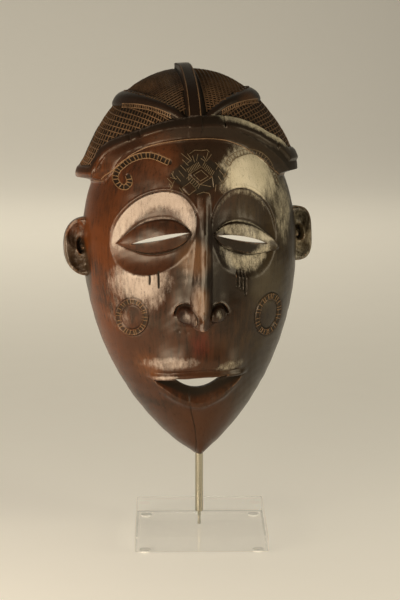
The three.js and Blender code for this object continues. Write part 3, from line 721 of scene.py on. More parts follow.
@dataclass(frozen=True)
class Band:
    """A ladder-like band cut into the face: two edge lines with rungs over a sunk floor."""

    points: tuple[Pair, ...]
    width: Pair
    rung: float
    sunk: float = 0.55

    def half_at(self, share: Array) -> Array:
        """Half width along the band."""
        return mix(*self.width, share) / 2

    def floor(self, x: Array, z: Array) -> Array:
        """Share of the sunk floor at a place, 1 well inside the band.

        Args:
            x: places across.
            z: heights.

        Returns:
            The share.
        """
        gap, run, whole = along_path(x, z, smooth_path(self.points, 2.0))
        half = self.half_at(run / whole)
        return smooth(half + 0.15, half - 0.45, gap)

    def lines(self) -> list[Array]:
        """The edge lines and rungs as paths in the mask's front.

        Returns:
            The lines, as places across and up.
        """
        path = smooth_path(self.points, 0.8)
        ahead = np.gradient(path, axis=0)
        aside = np.column_stack([-ahead[:, 1], ahead[:, 0]]) / np.hypot(*ahead.T)[:, None]
        half = self.half_at(np.linspace(0, 1, len(path)))[:, None]
        left, right = path + aside * half, path - aside * half
        found = [left, right]
        run = run_along(path)
        for place in np.arange(0, run[-1] + 0.01, self.rung):
            i = int(np.argmin(np.abs(run - place)))
            found.append(np.linspace(left[i], right[i], 4))
        return found


@dataclass(frozen=True)
class CheekRing:
    """A raised band round a flat disc, notched all the way round."""

    x: float
    z: float
    wide: float
    tall: float
    lean: float
    band: float = 4.2
    proud: float = 0.8
    groove: float = 0.35
    sunk: float = 0.5
    notches: int = 26

    def reach(self, x: Array, z: Array) -> Array:
        """Distance inward from the ring's outer edge.

        Args:
            x: places across.
            z: heights.

        Returns:
            The distances.
        """
        along, aside = own_axes(x - self.x, z - self.z, self.lean)
        share = np.hypot(along / self.wide, aside / self.tall)
        return (1 - share) * (self.wide + self.tall) / 2

    def relief(self, x: Array, z: Array) -> Array:
        """Height of the ring's band.

        Args:
            x: places across.
            z: heights.

        Returns:
            The relief.
        """
        inward = self.reach(x, z)
        raised = smooth(-0.3, 0.5, inward) * smooth(self.band + 0.3, self.band - 0.5, inward)
        groove = bell(inward + 0.5, 0.6) + 0.8 * bell(inward - self.band - 0.5, 0.6)
        return self.proud * raised - self.groove * groove - self.sunk * self.floor(x, z)

    def floor(self, x: Array, z: Array) -> Array:
        """Share of the sunk floor between the notches' edges."""
        inward = self.reach(x, z)
        return smooth(0.5, 0.95, inward) * smooth(self.band - 0.5, self.band - 0.95, inward)

    def lines(self) -> list[Array]:
        """The short bars between the notches, as paths in the mask's front.

        Returns:
            The lines, as places across and up.
        """
        found = []
        for i in range(self.notches):
            a = 2 * math.pi * (i + 0.2 * math.sin(i * 2.3)) / self.notches
            ends = []
            for inward in (0.2, self.band - 0.2):
                along, aside = (self.wide - inward) * math.cos(a), (self.tall - inward) * math.sin(a)
                ends.append(leaning((self.x, self.z), along, aside, self.lean))
            found.append(np.linspace(*ends, 4))
        return found


@dataclass(frozen=True)
class Diamond:
    """The cross-shaped mark on the forehead: a plate in the middle, combs and small squares."""

    middle: Pair = (-2.6, 216.3)
    half: Pair = (8.6, 6.4)
    small: Pair = (-11.3, 207.2)
    small_half: Pair = (5.0, 4.6)
    inner: float = 0.62
    sunk: float = 0.4
    proud: float = 0.35
    lean: float = -8
    strokes: tuple[tuple[float, ...], ...] = (
        (-24, -1, 5, -50), (-21, 2.6, 5.5, -58), (-19, -3, 4.5, -120), (-17.5, 0.5, 5, -55),
        (-23, -5, 4, -60), (-20.5, -6.5, 4, -130), (14, 3.5, 7, -52), (21, 3.5, 7, -128),
        (13, -1, 5, -60), (16.5, -5.5, 4.5, -110), (-13, 16.5, 9, -42), (9, 15, 6.5, -130),
        (-5, 14.5, 5, -75), (-1, 15.5, 5, -105), (3, 14, 4.5, -65), (-15.5, 4, 6, -52),
        (-14, 8, 6, -50), (-12.5, 12, 6, -48), (-22, -0.5, 5, -15), (-19.5, 4, 4, -100),
        (-16, -8, 5, -55), (-20, -9.5, 4, -140), (11.5, 9, 6, -50), (14.5, 8, 5, -125),
        (17.5, 1, 5, -50), (19, -3, 4.5, -130), (11, -7, 5, -100), (13.5, -10, 4, -60),
        (-8.5, 16, 5.5, -60), (6.5, 16.5, 5, -110), (-6, 11.8, 4, -140), (1, 12.5, 4, -40),
    )
    bows: tuple[tuple[Pair, ...], ...] = (
        ((-7, 16), (-3, 18.5), (2, 18), (6, 18.4), (7.5, 16.5)),
        ((-3.4, -13.5), (1.5, -12), (5.5, -13), (6.5, -16.5), (0, -17)),
    )

    def corners(self, centre: Pair, half: Pair) -> Array:
        """The corners of one diamond: top, right, bottom and left."""
        flat = ((0, half[1]), (half[0], 0), (0, -half[1]), (-half[0], 0))
        return np.array([leaning(centre, a, b, self.lean) for a, b in flat])

    def comb(self, start: Array, end: Array, count: int, length: float, lean: float) -> list[Array]:
        """Short strokes standing on a side.

        Args:
            start: where the side begins.
            end: where it ends.
            count: number of strokes.
            length: length of each.
            lean: how far each leans along the side, as a share of its length.

        Returns:
            The strokes as paths.
        """
        side = (end - start) / np.hypot(*(end - start))
        out = np.array([-side[1], side[0]]) + lean * side
        strokes = []
        for share in (np.arange(count) + 0.5) / count:
            foot = start + (end - start) * share + out * 0.6
            strokes.append(np.linspace(foot, foot + out * length, 4))
        return strokes

    def lines(self) -> list[Array]:
        """All strokes as paths in the mask's front.

        Returns:
            The lines, as places across and up.
        """
        top, right, bottom, left = plate = self.corners(self.middle, self.half)
        small = self.corners(self.small, self.small_half)
        inner = self.corners(self.middle, (self.inner * self.half[0], self.inner * self.half[1]))
        found = [
            closed_path(plate, 8),
            *self.comb(left, top, 9, 3.6, 0.1),
            *self.comb(top, right, 8, 3.4, -0.2),
            *self.comb(bottom, left, 6, 3.0, 0),
            closed_path(inner, 6),
            closed_path(small, 6),
            np.linspace(left, small[0] + (-0.8, 1.5), 5),
            np.linspace(bottom, small[1] + (1.5, 0.5), 5),
            np.linspace(bottom, (right + bottom) / 2 + (3.5, -4.5), 6),
            np.linspace(right, right + (0.6, -7.5), 6),
        ]
        middle = np.array(self.middle)
        for dx, dz, length, lean in self.strokes:
            foot = middle + (dx, dz)
            way = np.array([math.cos(math.radians(lean)), math.sin(math.radians(lean))])
            found.append(np.linspace(foot, foot + way * length, 6))
        return found + [np.array([middle + place for place in bow]) for bow in self.bows]

    def floor(self, x: Array, z: Array) -> Array:
        """Share of the rough sunk ground round the plate."""
        dx, dz = np.abs(x - self.middle[0] + 1) / 24, np.abs(z - self.middle[1] - 0.5) / 16
        return smooth(1.05, 0.8, dx**1.2 + dz**1.2) * (1 - self.plates(x, z))

    def plates(self, x: Array, z: Array) -> Array:
        """Share of the raised plates.

        Args:
            x: places across.
            z: heights.

        Returns:
            The share.
        """
        found = np.zeros(np.shape(x))
        for centre, half in ((self.middle, self.half), (self.small, self.small_half)):
            a, b = own_axes(x - centre[0], z - centre[1], self.lean)
            found = np.maximum(found, smooth(1.04, 0.94, np.abs(a) / half[0] + np.abs(b) / half[1]))
        return found


@dataclass(frozen=True)
class Ear:
    """A dish that faces forward on the head's side, with a canal, a knob in it and a lobe."""

    side: int
    z: float
    tall: float
    wide: float
    squareness: float
    root: float = 79
    back: float = 0.5
    rim: float = 15
    rim_round: float = 0.9
    bowls: tuple[tuple[float, ...], ...] = (
        (0.42, 0.4, 0.52, 0.52, 8.5),
        (0.4, -0.52, 0.48, 0.36, 6.0),
    )
    canal: Triple = (5.2, 3.2, 6.2)
    rim_fall: float = 2.6
    dish: float = 1.5
    canal_depth: float = 4.6
    knob: float = 2.5
    knob_proud: float = 4.2
    fold: float = 1.8
    rings: int = 34
    spokes: int = 72

    def front(self, reach: Array, angle: Array, x: Array, z: Array) -> Array:
        """Depth of the ear's front.

        Args:
            reach: distance from the ear's root, 1 at the rim.
            angle: turn from straight out, up positive.
            x: places across.
            z: heights.

        Returns:
            The depths.
        """
        out = (self.side * x - self.root) / self.wide
        up = (z - self.z) / self.tall
        depth = self.rim - self.rim_fall * smooth(self.rim_round, 1, reach) - self.dish * (1 - reach)
        for across, high, wide, tall, deep in self.bowls:
            away = np.hypot((out - across) / wide, (up - high) / tall)
            depth = depth - deep * (1 - smooth(0.15, 1, away)) ** 0.8
        depth = depth * mix(1, 0.62, np.cos(angle))
        canal_out, wide, tall = self.canal
        hole = np.hypot((out * self.wide - canal_out) / wide, (z - self.z - 0.5) / tall)
        depth = depth - self.canal_depth * smooth(1.1, 0.75, hole) + 0.6 * bell(hole - 1.3, 0.16)
        knob = np.hypot(out * self.wide - canal_out + 1.6, z - self.z + 0.6) / self.knob
        depth = depth + self.knob_proud * np.sqrt(np.maximum(0, 1 - knob * knob))
        strip = np.abs((up + 0.68) - 0.55 * (0.42 - out)) / 0.1
        return depth + self.fold * bell(strip, 1) * smooth(0.75, 0.55, out) * smooth(0.05, 0.2, out)

    def mesh(self) -> tuple[Array, Faces]:
        """The ear as a closed mesh.

        Returns:
            Its points in the mask's frame and its faces.
        """
        reach = np.linspace(0, 1, self.rings + 1) ** 0.9
        turn = math.pi * np.linspace(0, 1, self.spokes + 1) - HALF_TURN
        grid_reach, grid_turn = np.meshgrid(reach, turn, indexing="ij")
        up, out = superellipse(grid_turn, self.squareness)
        x = self.side * (self.root + self.wide * grid_reach * out)
        z = self.z + self.tall * grid_reach * up
        d = self.front(grid_reach, grid_turn, x, z)
        top = np.column_stack([x.ravel(), -d.ravel(), z.ravel()])
        under = top.copy()
        under[:, 1] = -self.back
        width, back = self.spokes + 1, len(top)
        faces: Faces = []
        for ring in range(self.rings):
            for spoke in range(self.spokes):
                a = ring * width + spoke
                faces.append((a, a + width, a + width + 1, a + 1))
                faces.append((back + a, back + a + 1, back + a + width + 1, back + a + width))
        rim = self.rings * width
        for spoke in range(self.spokes):
            a = rim + spoke
            faces.append((a, back + a, back + a + 1, a + 1))
        for ring in range(self.rings):
            low, high = ring * width, ring * width + self.spokes
            faces.append((low, back + low, back + low + width, low + width))
            faces.append((high, high + width, back + high + width, back + high))
        return np.vstack([top, under]), faces


@dataclass(frozen=True)
class Hollow:
    """The space behind the face, hewn with a round gouge."""

    wall: float = 9
    front_wall: float = 12
    chin_wall: float = 15
    bottom: float = 29
    bottom_round: float = 18
    shoulder: float = 222
    rise: float = 62
    side_power: float = 1.8
    behind: float = 10
    columns: int = 96
    rows: int = 120
    gouge: float = 0.55
    gouge_pitch: Pair = (0.17, 11.0)

    def mesh(self, head: Head) -> tuple[Array, Faces]:
        """The hollow's cutter as a closed mesh.

        Args:
            head: the head that it follows at a wall's distance.

        Returns:
            Its points in the mask's frame and its faces.
        """
        share = np.linspace(0, 1, self.rows + 1)
        eased = share - np.sin(2 * np.pi * share) / (2 * np.pi) * 0.75
        z = mix(self.bottom, self.shoulder + self.rise - 0.4, eased)[:, None]
        angle = HALF_TURN * np.linspace(-1, 1, self.columns + 1)[None, :]
        across, ahead = head.section(angle, z)
        held = np.minimum(z, self.shoulder)
        close = np.clip((z - self.shoulder) / self.rise, 0, 1)
        start = np.clip((self.bottom + self.bottom_round - z) / self.bottom_round, 0, 1)
        ends = np.sqrt(1 - start**2 * 0.98)
        half = (head.half(held) - self.wall) * np.sqrt(1 - close**self.side_power) * ends
        wall = mix(self.chin_wall, self.front_wall, smooth(60, 100, z))
        depth = (head.ahead(held) - wall) * np.sqrt(1 - close**2) * ends
        row = np.floor(angle / self.gouge_pitch[0])
        stroke = np.abs(np.sin(np.pi * angle / self.gouge_pitch[0]))
        length = np.abs(np.sin(np.pi * (z / self.gouge_pitch[1] + 0.37 * row)))
        cut = 1 - self.gouge * (1 - stroke * (0.5 + 0.5 * length)) / 60
        x, d = half * across * cut, depth * ahead * cut
        ring = np.stack([x, -d, np.broadcast_to(z, x.shape)], axis=-1)
        left, right = ring[:, :1].copy(), ring[:, -1:].copy()
        left[..., 1], right[..., 1] = self.behind, self.behind
        ring = np.concatenate([left, ring, right], axis=1)
        width = ring.shape[1]
        points = ring.reshape(-1, 3)
        faces: Faces = []
        for r in range(self.rows):
            for c in range(width):
                a, b = r * width + c, r * width + (c + 1) % width
                faces.append((a, b, b + width, a + width))
        faces.append(tuple(reversed(range(width))))
        faces.append(tuple(self.rows * width + c for c in range(width)))
        return points, faces


EYES = (
    Eye((-37, 175, 34.5, 27, 46), (-37.5, 171, 27.5, 14, 11, 6.5),
        (-57.3, 167.1), (-9.2, 174.9), 0.9, 3.5, 0.3),
    Eye((29.4, 172.5, 34, 25.5, 100), (31.5, 166.4, 27, 13.8, 9.6, -13.6),
        (48.8, 163.4), (8.4, 171.9), 1.5, 3.9),
)
CHEEK_RINGS = (CheekRing(-53.4, 113, 11, 14.4, 0), CheekRing(49.6, 109.8, 11.5, 16.2, -10))
BANDS = (
    Band(
        ((-24.8, 226.6), (-35.5, 231.6), (-44.4, 231.4), (-53.2, 227.2), (-59.4, 221.2), (-61.0, 214.9),
         (-58.6, 210.4), (-55.0, 209.4), (-52.2, 212.8), (-52.8, 217.4)),
        (4.5, 3.6), 2.7,
    ),
    Band(
        ((18.0, 223.6), (22.0, 228.3), (29.5, 231.2), (38.0, 231.9), (46.0, 228.9), (52.2, 223.2),
         (56.4, 215.6), (58.9, 206.8)),
        (4.2, 2.8), 2.7,
    ),
)
EARS = (Ear(-1, 163.8, 22.4, 18.5, 2.3), Ear(1, 166.6, 21, 15.5, 3.2))


# Painted highlights, one spot each: x, z, width, height, lean in degrees and share.
PAINTED_HIGHLIGHT_SPOTS = (
    (37, 214, 30, 29, 0, 1.1),
    (-48, 139, 27, 19, 0, 0.9),
    (-62, 118, 12, 24, 12, 0.3),
    (-36, 132, 10, 24, -24, 0.5),
    (-15.5, 152, 3.2, 42, -3, 0.3),
    (-8.5, 130, 4.5, 30, -3, 0.42),
    (-27, 78, 26, 6, 3, 0.62),
    (-15.2, 114.5, 5.5, 6, 0, 0.42),
    (8.6, 114, 5, 5.5, 0, 0.3),
    (17, 75, 16, 5, 8, 0.42),
    (-29, 68.3, 11, 2, 3, 0.7),
    (64, 190, 13, 34, 0, 0.5),
)


@dataclass(frozen=True)
class Cuts:
    """Single cuts of the knife: tear marks, the crack in the chin and small pits."""

    tears: tuple[Triple, ...] = (
        (-41.4, 137.8, 144.2), (-35.4, 134.6, 146.6), (25.0, 131.4, 144.6), (27.8, 129.6, 144.8),
        (30.2, 125.6, 143.8),
    )
    tear_width: float = 0.75
    tear_depth: float = 1.5
    crack: tuple[Pair, ...] = (
        (-13, 54), (-10.6, 45), (-9.8, 37.8), (-6.4, 24), (-4.5, 12.7), (-3.6, 3),
    )
    crack_width: float = 0.35
    crack_depth: float = 0.5
    pits: tuple[Pair, ...] = ((-20.4, 101.6), (-14.3, 100.6), (3.5, 99.8))
    pit_width: float = 1.2
    pit_depth: float = 0.3

    def relief(self, x: Array, z: Array) -> Array:
        """Depth of all cuts, below 0.

        Args:
            x: places across.
            z: heights.

        Returns:
            The relief.
        """
        found = np.zeros(np.shape(x))
        for place, low, high in self.tears:
            ends = smooth(low - 0.5, low + 2.5, z) * smooth(high + 0.5, high - 2.5, z)
            found = found - self.tear_depth * bell(x - place, self.tear_width) * ends
        gap, _, _ = along_path(x, z, self.crack)
        found = found - self.crack_depth * bell(gap, self.crack_width)
        for px, pz in self.pits:
            found = found - self.pit_depth * bell(np.hypot(x - px, z - pz), self.pit_width)
        return found

    def near(self, x: Array, z: Array) -> Array:
        """Distance to the nearest cut, the crack counted as further off.

        Args:
            x: places across.
            z: heights.

        Returns:
            The distances.
        """
        gap = along_path(x, z, self.crack)[0] + 0.45
        for place, low, high in self.tears:
            gap = np.minimum(gap, np.hypot(x - place, np.maximum(np.maximum(low - z, z - high), 0)))
        for px, pz in self.pits:
            gap = np.minimum(gap, np.hypot(x - px, z - pz) + 0.6)
        return gap


@dataclass
class CarvedFront:
    """The whole carved outside as one surface over the turn round the head and the rows."""

    head: Head = field(default_factory=Head)
    cap: Cap = field(default_factory=Cap)
    brim: Brim = field(default_factory=Brim)
    ribs: CapRibs = field(default_factory=CapRibs)
    nose: Nose = field(default_factory=Nose)
    mouth: Mouth = field(default_factory=Mouth)
    diamond: Diamond = field(default_factory=Diamond)
    cuts: Cuts = field(default_factory=Cuts)
    zone_tops: tuple[float, ...] = (38, 78, 98, 124, 148, 210)
    zone_rows: tuple[int, ...] = (14, 16, 8, 11, 9, 26, 12, 9, 14, 6, 26)
    columns: int = 110
    least_panel: float = 2.4
    tool_marks: float = 0.16
    coarse: float = 2.3
    cell_face: float = 1.6
    cell_socket: float = 1.25
    cell_form: float = 0.95
    cell_edge: float = 0.75
    cell_band: float = 0.6
    cell_cut: float = 0.5
    cell_ridge: float = 0.9
    cell_brim: float = 1.0
    cell_rib: float = 0.8
    cell_dome: float = 1.9
    cell_side: float = 1.2
    ground_dirt: float = 0.75
    band_dirt: Pair = (0.8, 0.3)
    ring_dirt: float = 0.6
    # The mouth's and the cove's shares below are painted shade; the bead's share darkens the bead.
    mouth_shade: Pair = (1.0, 0.82)
    bead_darkening: float = 0.55
    cove_shade: float = 0.5

    @property
    def rows(self) -> int:
        """Number of rows in the coarse grid."""
        return sum(self.zone_rows)

    def height(self, angle: Array, row: Array) -> Array:
        """Height above the chin of places on a row.

        Args:
            angle: turn from straight ahead.
            row: row number, 0 at the chin.

        Returns:
            The heights, on rows that bend with the brim and the side ribs.
        """
        x = self.cap.point(angle, np.full(len(angle), self.cap.base))[0]
        bead_top = self.brim.bead_top(x)
        _, half, centre = self.ribs.rib(angle)
        rib_low = np.maximum(bead_top + self.least_panel, centre - half)
        plain = [np.full(len(angle), top) for top in (0.0, *self.zone_tops, self.cap.top)]
        levels = np.stack([*plain[:-1], self.brim.edge(x), bead_top, rib_low, rib_low + 2 * half, plain[-1]])
        starts = np.concatenate([[0], np.cumsum(self.zone_rows)])
        zone = np.clip(np.searchsorted(starts, row, side="right") - 1, 0, len(self.zone_rows) - 1)
        counts = np.array(self.zone_rows)[zone]
        share = (row - starts[zone]) / counts
        last = zone == len(self.zone_rows) - 1
        share = np.where(last, np.sin(HALF_TURN * share * (counts - 1) / counts), share)
        places = np.arange(len(angle))
        return mix(levels[zone, places], levels[zone + 1, places], share)

    def outward(self, point: Callable[[Array, Array], Arrays], angle: Array, z: Array) -> Array:
        """Outward direction of a plain section surface.

        Args:
            point: the surface's own function of turn and height.
            angle: turns.
            z: heights.

        Returns:
            Unit vectors as across, back and up, one row each.
        """
        step, lift = 0.004, 0.4
        a, b = point(angle - step, z), point(angle + step, z)
        low, high = point(angle, z - lift), point(angle, z + lift)
        around = np.column_stack([b[0] - a[0], a[1] - b[1], np.zeros(len(z))])
        up = np.column_stack([high[0] - low[0], low[1] - high[1], np.full(len(z), 2 * lift)])
        way = np.cross(around, up)
        return way / np.linalg.norm(way, axis=1)[:, None]

    def face_relief(self, x: Array, z: Array) -> Array:
        """All relief on the face.

        Args:
            x: places across.
            z: heights.

        Returns:
            The relief.
        """
        relief = self.nose.relief(x, z) + self.mouth.relief(x, z) + self.cuts.relief(x, z)
        for eye in EYES:
            relief = relief + eye.relief(x, z)
        for ring in CHEEK_RINGS:
            relief = relief + ring.relief(x, z)
        for band in BANDS:
            relief = relief - band.sunk * band.floor(x, z)
        mark = self.diamond
        return relief - mark.sunk * mark.floor(x, z) + mark.proud * mark.plates(x, z)

    def panel(self, angle: Array, x: Array, z: Array) -> Array:
        """Share of the four sunk panels of the cap at a place.

        Args:
            angle: turn from straight ahead.
            x: place across.
            z: height.

        Returns:
            The share, 1 inside a panel.
        """
        _, half, centre = self.ribs.rib(angle)
        edge = self.brim.bead_top(x)
        low = smooth(edge + 0.3, edge + 1.3, z) * smooth(centre - half + 0.3, centre - half - 0.7, z)
        beside = np.abs(x - self.ribs.crest_x(z, self.brim)) - self.ribs.crest_half
        high = smooth(centre + half - 0.3, centre + half + 0.7, z) * smooth(0.2, 1.2, beside)
        return np.maximum(low, high)

    def marks(self, x: Array, z: Array) -> Array:
        """Slight unevenness left by the hand.

        Args:
            x: places across.
            z: heights.

        Returns:
            The relief.
        """
        wave = np.sin(0.31 * x + 0.17 * z + 1.3 * np.sin(0.11 * z)) * np.sin(0.23 * z - 0.12 * x + 0.7)
        fine = np.sin(0.71 * x - 0.38 * z + 1.7 * np.sin(0.19 * x)) * np.sin(0.53 * z + 0.29 * x)
        return self.tool_marks * (wave + 0.4 * fine)

    def bend(self, angle: Array, z: Array) -> Arrays:
        """Places on the carved form.

        Args:
            angle: turn from straight ahead.
            z: height above the chin.

        Returns:
            Points in the mask's frame and the outward directions there, one row each.
        """
        head_x, head_d = self.head.point(angle, z)
        cap_x, cap_d = self.cap.point(angle, z)
        edge = self.brim.edge(cap_x)
        step, _ = self.brim.heights(cap_x)
        share = np.clip((z - edge) / (1.25 * step), 0, 1) ** 1.35
        held = np.clip(z, 0.5, self.cap.top - 1.5)
        plain = self.outward(self.head.point, angle, held)
        way = mix(plain, self.outward(self.cap.point, angle, held), share[:, None])
        way = way / np.linalg.norm(way, axis=1)[:, None]
        bead = self.brim.bead_relief(cap_x, z) * smooth(-0.2, 0.35, np.cos(angle))
        raised = np.maximum.reduce([bead, self.ribs.crest(cap_x, z, self.brim), self.ribs.side(angle, z)])
        on_cap = raised - self.ribs.panel_sunk * self.panel(angle, cap_x, z)
        facing = smooth(0.05, 0.3, np.cos(angle))
        relief = share * on_cap + (1 - share) * facing * self.face_relief(head_x, z)
        ridge = self.brim.ridge * bell(z - edge + 0.2, self.brim.ridge_width)
        relief = relief + ridge + self.marks(head_x, z)
        x = mix(head_x, cap_x, share) + relief * way[:, 0]
        d = np.maximum(0, mix(head_d, cap_d, share) - relief * way[:, 1])
        d = np.where(np.abs(angle) > HALF_TURN - 1e-6, 0, d)
        return np.column_stack([x, -d, z + relief * way[:, 2]]), way

    def place(self, flat: Array) -> Array:
        """Bends turns and row numbers, one row each, onto the carved form."""
        return self.bend(flat[:, 0], self.height(flat[:, 0], flat[:, 1]))[0]

    def unbent(self, flat: Array) -> tuple[Array, Array, Array, Array, Array]:
        """What flat places mean.

        Args:
            flat: turns and row numbers, one row each.

        Returns:
            Turn, height, place across on the head and on the cap, and the height of the brim's edge.
        """
        angle = flat[:, 0]
        z = self.height(angle, flat[:, 1])
        cap_x = self.cap.point(angle, z)[0]
        return angle, z, self.head.point(angle, z)[0], cap_x, self.brim.edge(cap_x)

    def sunk(self, flat: Array) -> Array:
        """Share of darkening at flat places: dirt on the sunk floors, in the cuts and in the cap's panels, a
        darker bead, and painted shade in the mouth's hollow and in the cove under the bead.

        Args:
            flat: turns and row numbers, one row each.

        Returns:
            The share.
        """
        angle, z, x, cap_x, edge = self.unbent(flat)
        face = self.diamond.floor(x, z) * self.ground_dirt
        for band, share in zip(BANDS, self.band_dirt):
            face = np.maximum(face, share * band.floor(x, z))
        for ring in CHEEK_RINGS:
            face = np.maximum(face, self.ring_dirt * ring.floor(x, z))
        face = np.maximum(face, smooth(1.1, 0.3, self.cuts.near(x, z)))
        # Painted shade inside the mouth's hollow, darkest at the left.
        face = np.maximum(face, mix(*self.mouth_shade, smooth(-20, 0, x)) * self.mouth.inside(x, z))
        low, high = self.brim.heights(cap_x)[1] + edge + 0.5, self.brim.bead_top(cap_x)
        # The bead is darker, fading out to the right.
        bead = self.bead_darkening * smooth(low, low + 1.2, z) * smooth(high + 0.4, high - 0.6, z)
        bead = bead * smooth(60, 10, cap_x)
        # Painted shade in the cove under the bead, stronger to the right.
        cove = self.cove_shade * smooth(0.5, 2.5, z - edge) * smooth(0.5, -1.5, z - low)
        cove = cove * smooth(-35, 15, cap_x)
        return np.where(z > edge, np.maximum.reduce([bead, cove, self.panel(angle, cap_x, z)]), face)

    def pale(self, flat: Array) -> Array:
        """Share of painted highlight at flat places: sockets, lids, cheek, brow, lips and the bead.

        Args:
            flat: turns and row numbers, one row each.

        Returns:
            The share.
        """
        _, z, x, cap_x, edge = self.unbent(flat)
        low, top = edge + self.brim.heights(cap_x)[1], self.brim.bead_top(cap_x)
        bead = smooth(low, low + 2, z) * (z < top)
        # Painted highlight on the bead: along its top edge, and most on its right part.
        lit = 0.8 * smooth(10, 18, cap_x) * smooth(76, 60, cap_x) * smooth(6.5, 2.5, top - z)
        bead_highlight = bead * (lit + 0.4 * smooth(2.2, 0.8, top - z))
        return np.where(z < edge - 1, np.maximum(self.painted_socket_highlights(x, z), self.painted_spot_highlights(x, z)), bead_highlight)

    def painted_socket_highlights(self, x: Array, z: Array) -> Array:
        """Share of painted highlight in the sockets and on the lids.

        Args:
            x: places across.
            z: heights.

        Returns:
            The share.
        """
        left, right = EYES
        reach, inside = left.socket_reach(x, z), left.lid_inside(x, z)[0]
        above = z - left.socket[1] - 0.12 * (x + 37)
        band = smooth(0.985, 0.95, reach) * smooth(0.42, 0.8, reach) * smooth(-16, 2, above)
        band = band * (1 - 0.8 * smooth(-0.45, -0.15, inside)) * smooth(-2, -20, x + 0.3 * (z - 190)) ** 0.6
        found = [band * mix(0.72, 1.05, smooth(2, 20, above)),
                 0.8 * bell(inside + 0.03, 0.05) * smooth(-9, -3, z - left.socket[1])]
        reach, inside = right.socket_reach(x, z), right.lid_inside(x, z)[0]
        (inner_x, inner_z), (outer_x, outer_z) = right.inner, right.outer
        over_slit = z - mix(inner_z, outer_z, np.clip((x - inner_x) / (outer_x - inner_x), 0, 1))
        above = z - right.socket[1]
        return np.maximum.reduce([
            *found,
            0.6 * smooth(0.0, 0.25, inside) * smooth(0, 4, over_slit),
            0.85 * bell(inside + 0.02, 0.05) * smooth(-1, 2, over_slit),
            0.5 * smooth(0.99, 0.75, reach) * smooth(0.35, 0.72, reach) * smooth(-4, -12, above),
            0.35 * smooth(0.98, 0.95, reach) * smooth(0.8, 0.92, reach) * smooth(10, 18, above),
        ])

    def painted_spot_highlights(self, x: Array, z: Array) -> Array:
        """Share of painted highlight in spots outside the sockets.

        Args:
            x: places across.
            z: heights.

        Returns:
            The share.
        """
        found = np.zeros(len(z))
        for px, pz, wide, tall, lean, share in PAINTED_HIGHLIGHT_SPOTS:
            along, aside = own_axes(x - px, z - pz, lean)
            found = np.maximum(found, share * smooth(1.15, 0.3, np.hypot(along / wide, aside / tall)))
        left, right = (smooth(0.97, 1.03, eye.socket_reach(x, z)) for eye in EYES)
        return found * (left * right)

    def cell(self, flat: Array) -> Array:
        """Wanted size of the mesh's cells at flat places.

        Args:
            flat: turns and row numbers, one row each.

        Returns:
            The wanted edge lengths.
        """
        angle, z, x, cap_x, edge = self.unbent(flat)
        size = np.full(len(z), self.coarse)

        def fine(where: Array, wanted: float) -> None:
            """Asks for cells of at most the wanted size at some places."""
            nonlocal size
            size = np.where(where, np.minimum(size, wanted), size)

        fine((np.abs(x) < 66) & (z > 38) & (z < 215), self.cell_face)
        for eye in EYES:
            reach = eye.socket_reach(x, z)
            inside, _ = eye.lid_inside(x, z)
            fine(reach < 1.15, self.cell_socket)
            fine((np.abs(reach - 1.02) < 0.1) & (z > eye.socket[1]), self.cell_edge)
            fine((np.abs(inside) < 0.35) & (inside > -1), self.cell_edge)
        reach, _ = self.nose.ridge_reach(x, z)
        fine((reach < 1.5) & (z > 96) & (z < 205), self.cell_form)
        fine((np.abs(x + 4) < 22) & (np.abs(z - 110) < 13), self.cell_edge)
        fine((np.abs(x - self.mouth.x) < 42) & (z > 40) & (z < 80), self.cell_form)
        for ring in CHEEK_RINGS:
            inward = ring.reach(x, z)
            fine((inward > -1.5) & (inward < ring.band + 1.5), self.cell_band)
        for band in BANDS:
            gap, _, _ = along_path(x, z, smooth_path(band.points, 4.0))
            fine(gap < band.width[0] / 2 + 1, self.cell_band)
        fine((np.abs(x + 3) < 25) & (np.abs(z - 217) < 17), self.cell_edge)
        fine(self.cuts.near(x, z) < 1.8, self.cell_cut)
        fine(np.abs(z - edge) < 3, self.cell_ridge)
        fine((z > edge) & (z < edge + 18), self.cell_brim)
        _, half, centre = self.ribs.rib(angle)
        dome = z > edge + 12
        fine(dome & (np.abs(np.abs(z - centre) - half) < 1.6), self.cell_rib)
        aside = np.abs(cap_x - self.ribs.crest_x(z, self.brim))
        fine(dome & (np.abs(aside - self.ribs.crest_half) < 1.4), self.cell_rib)
        fine(dome, self.cell_dome)
        return np.where(np.abs(angle) > 1.45, np.maximum(size, self.cell_side), size)


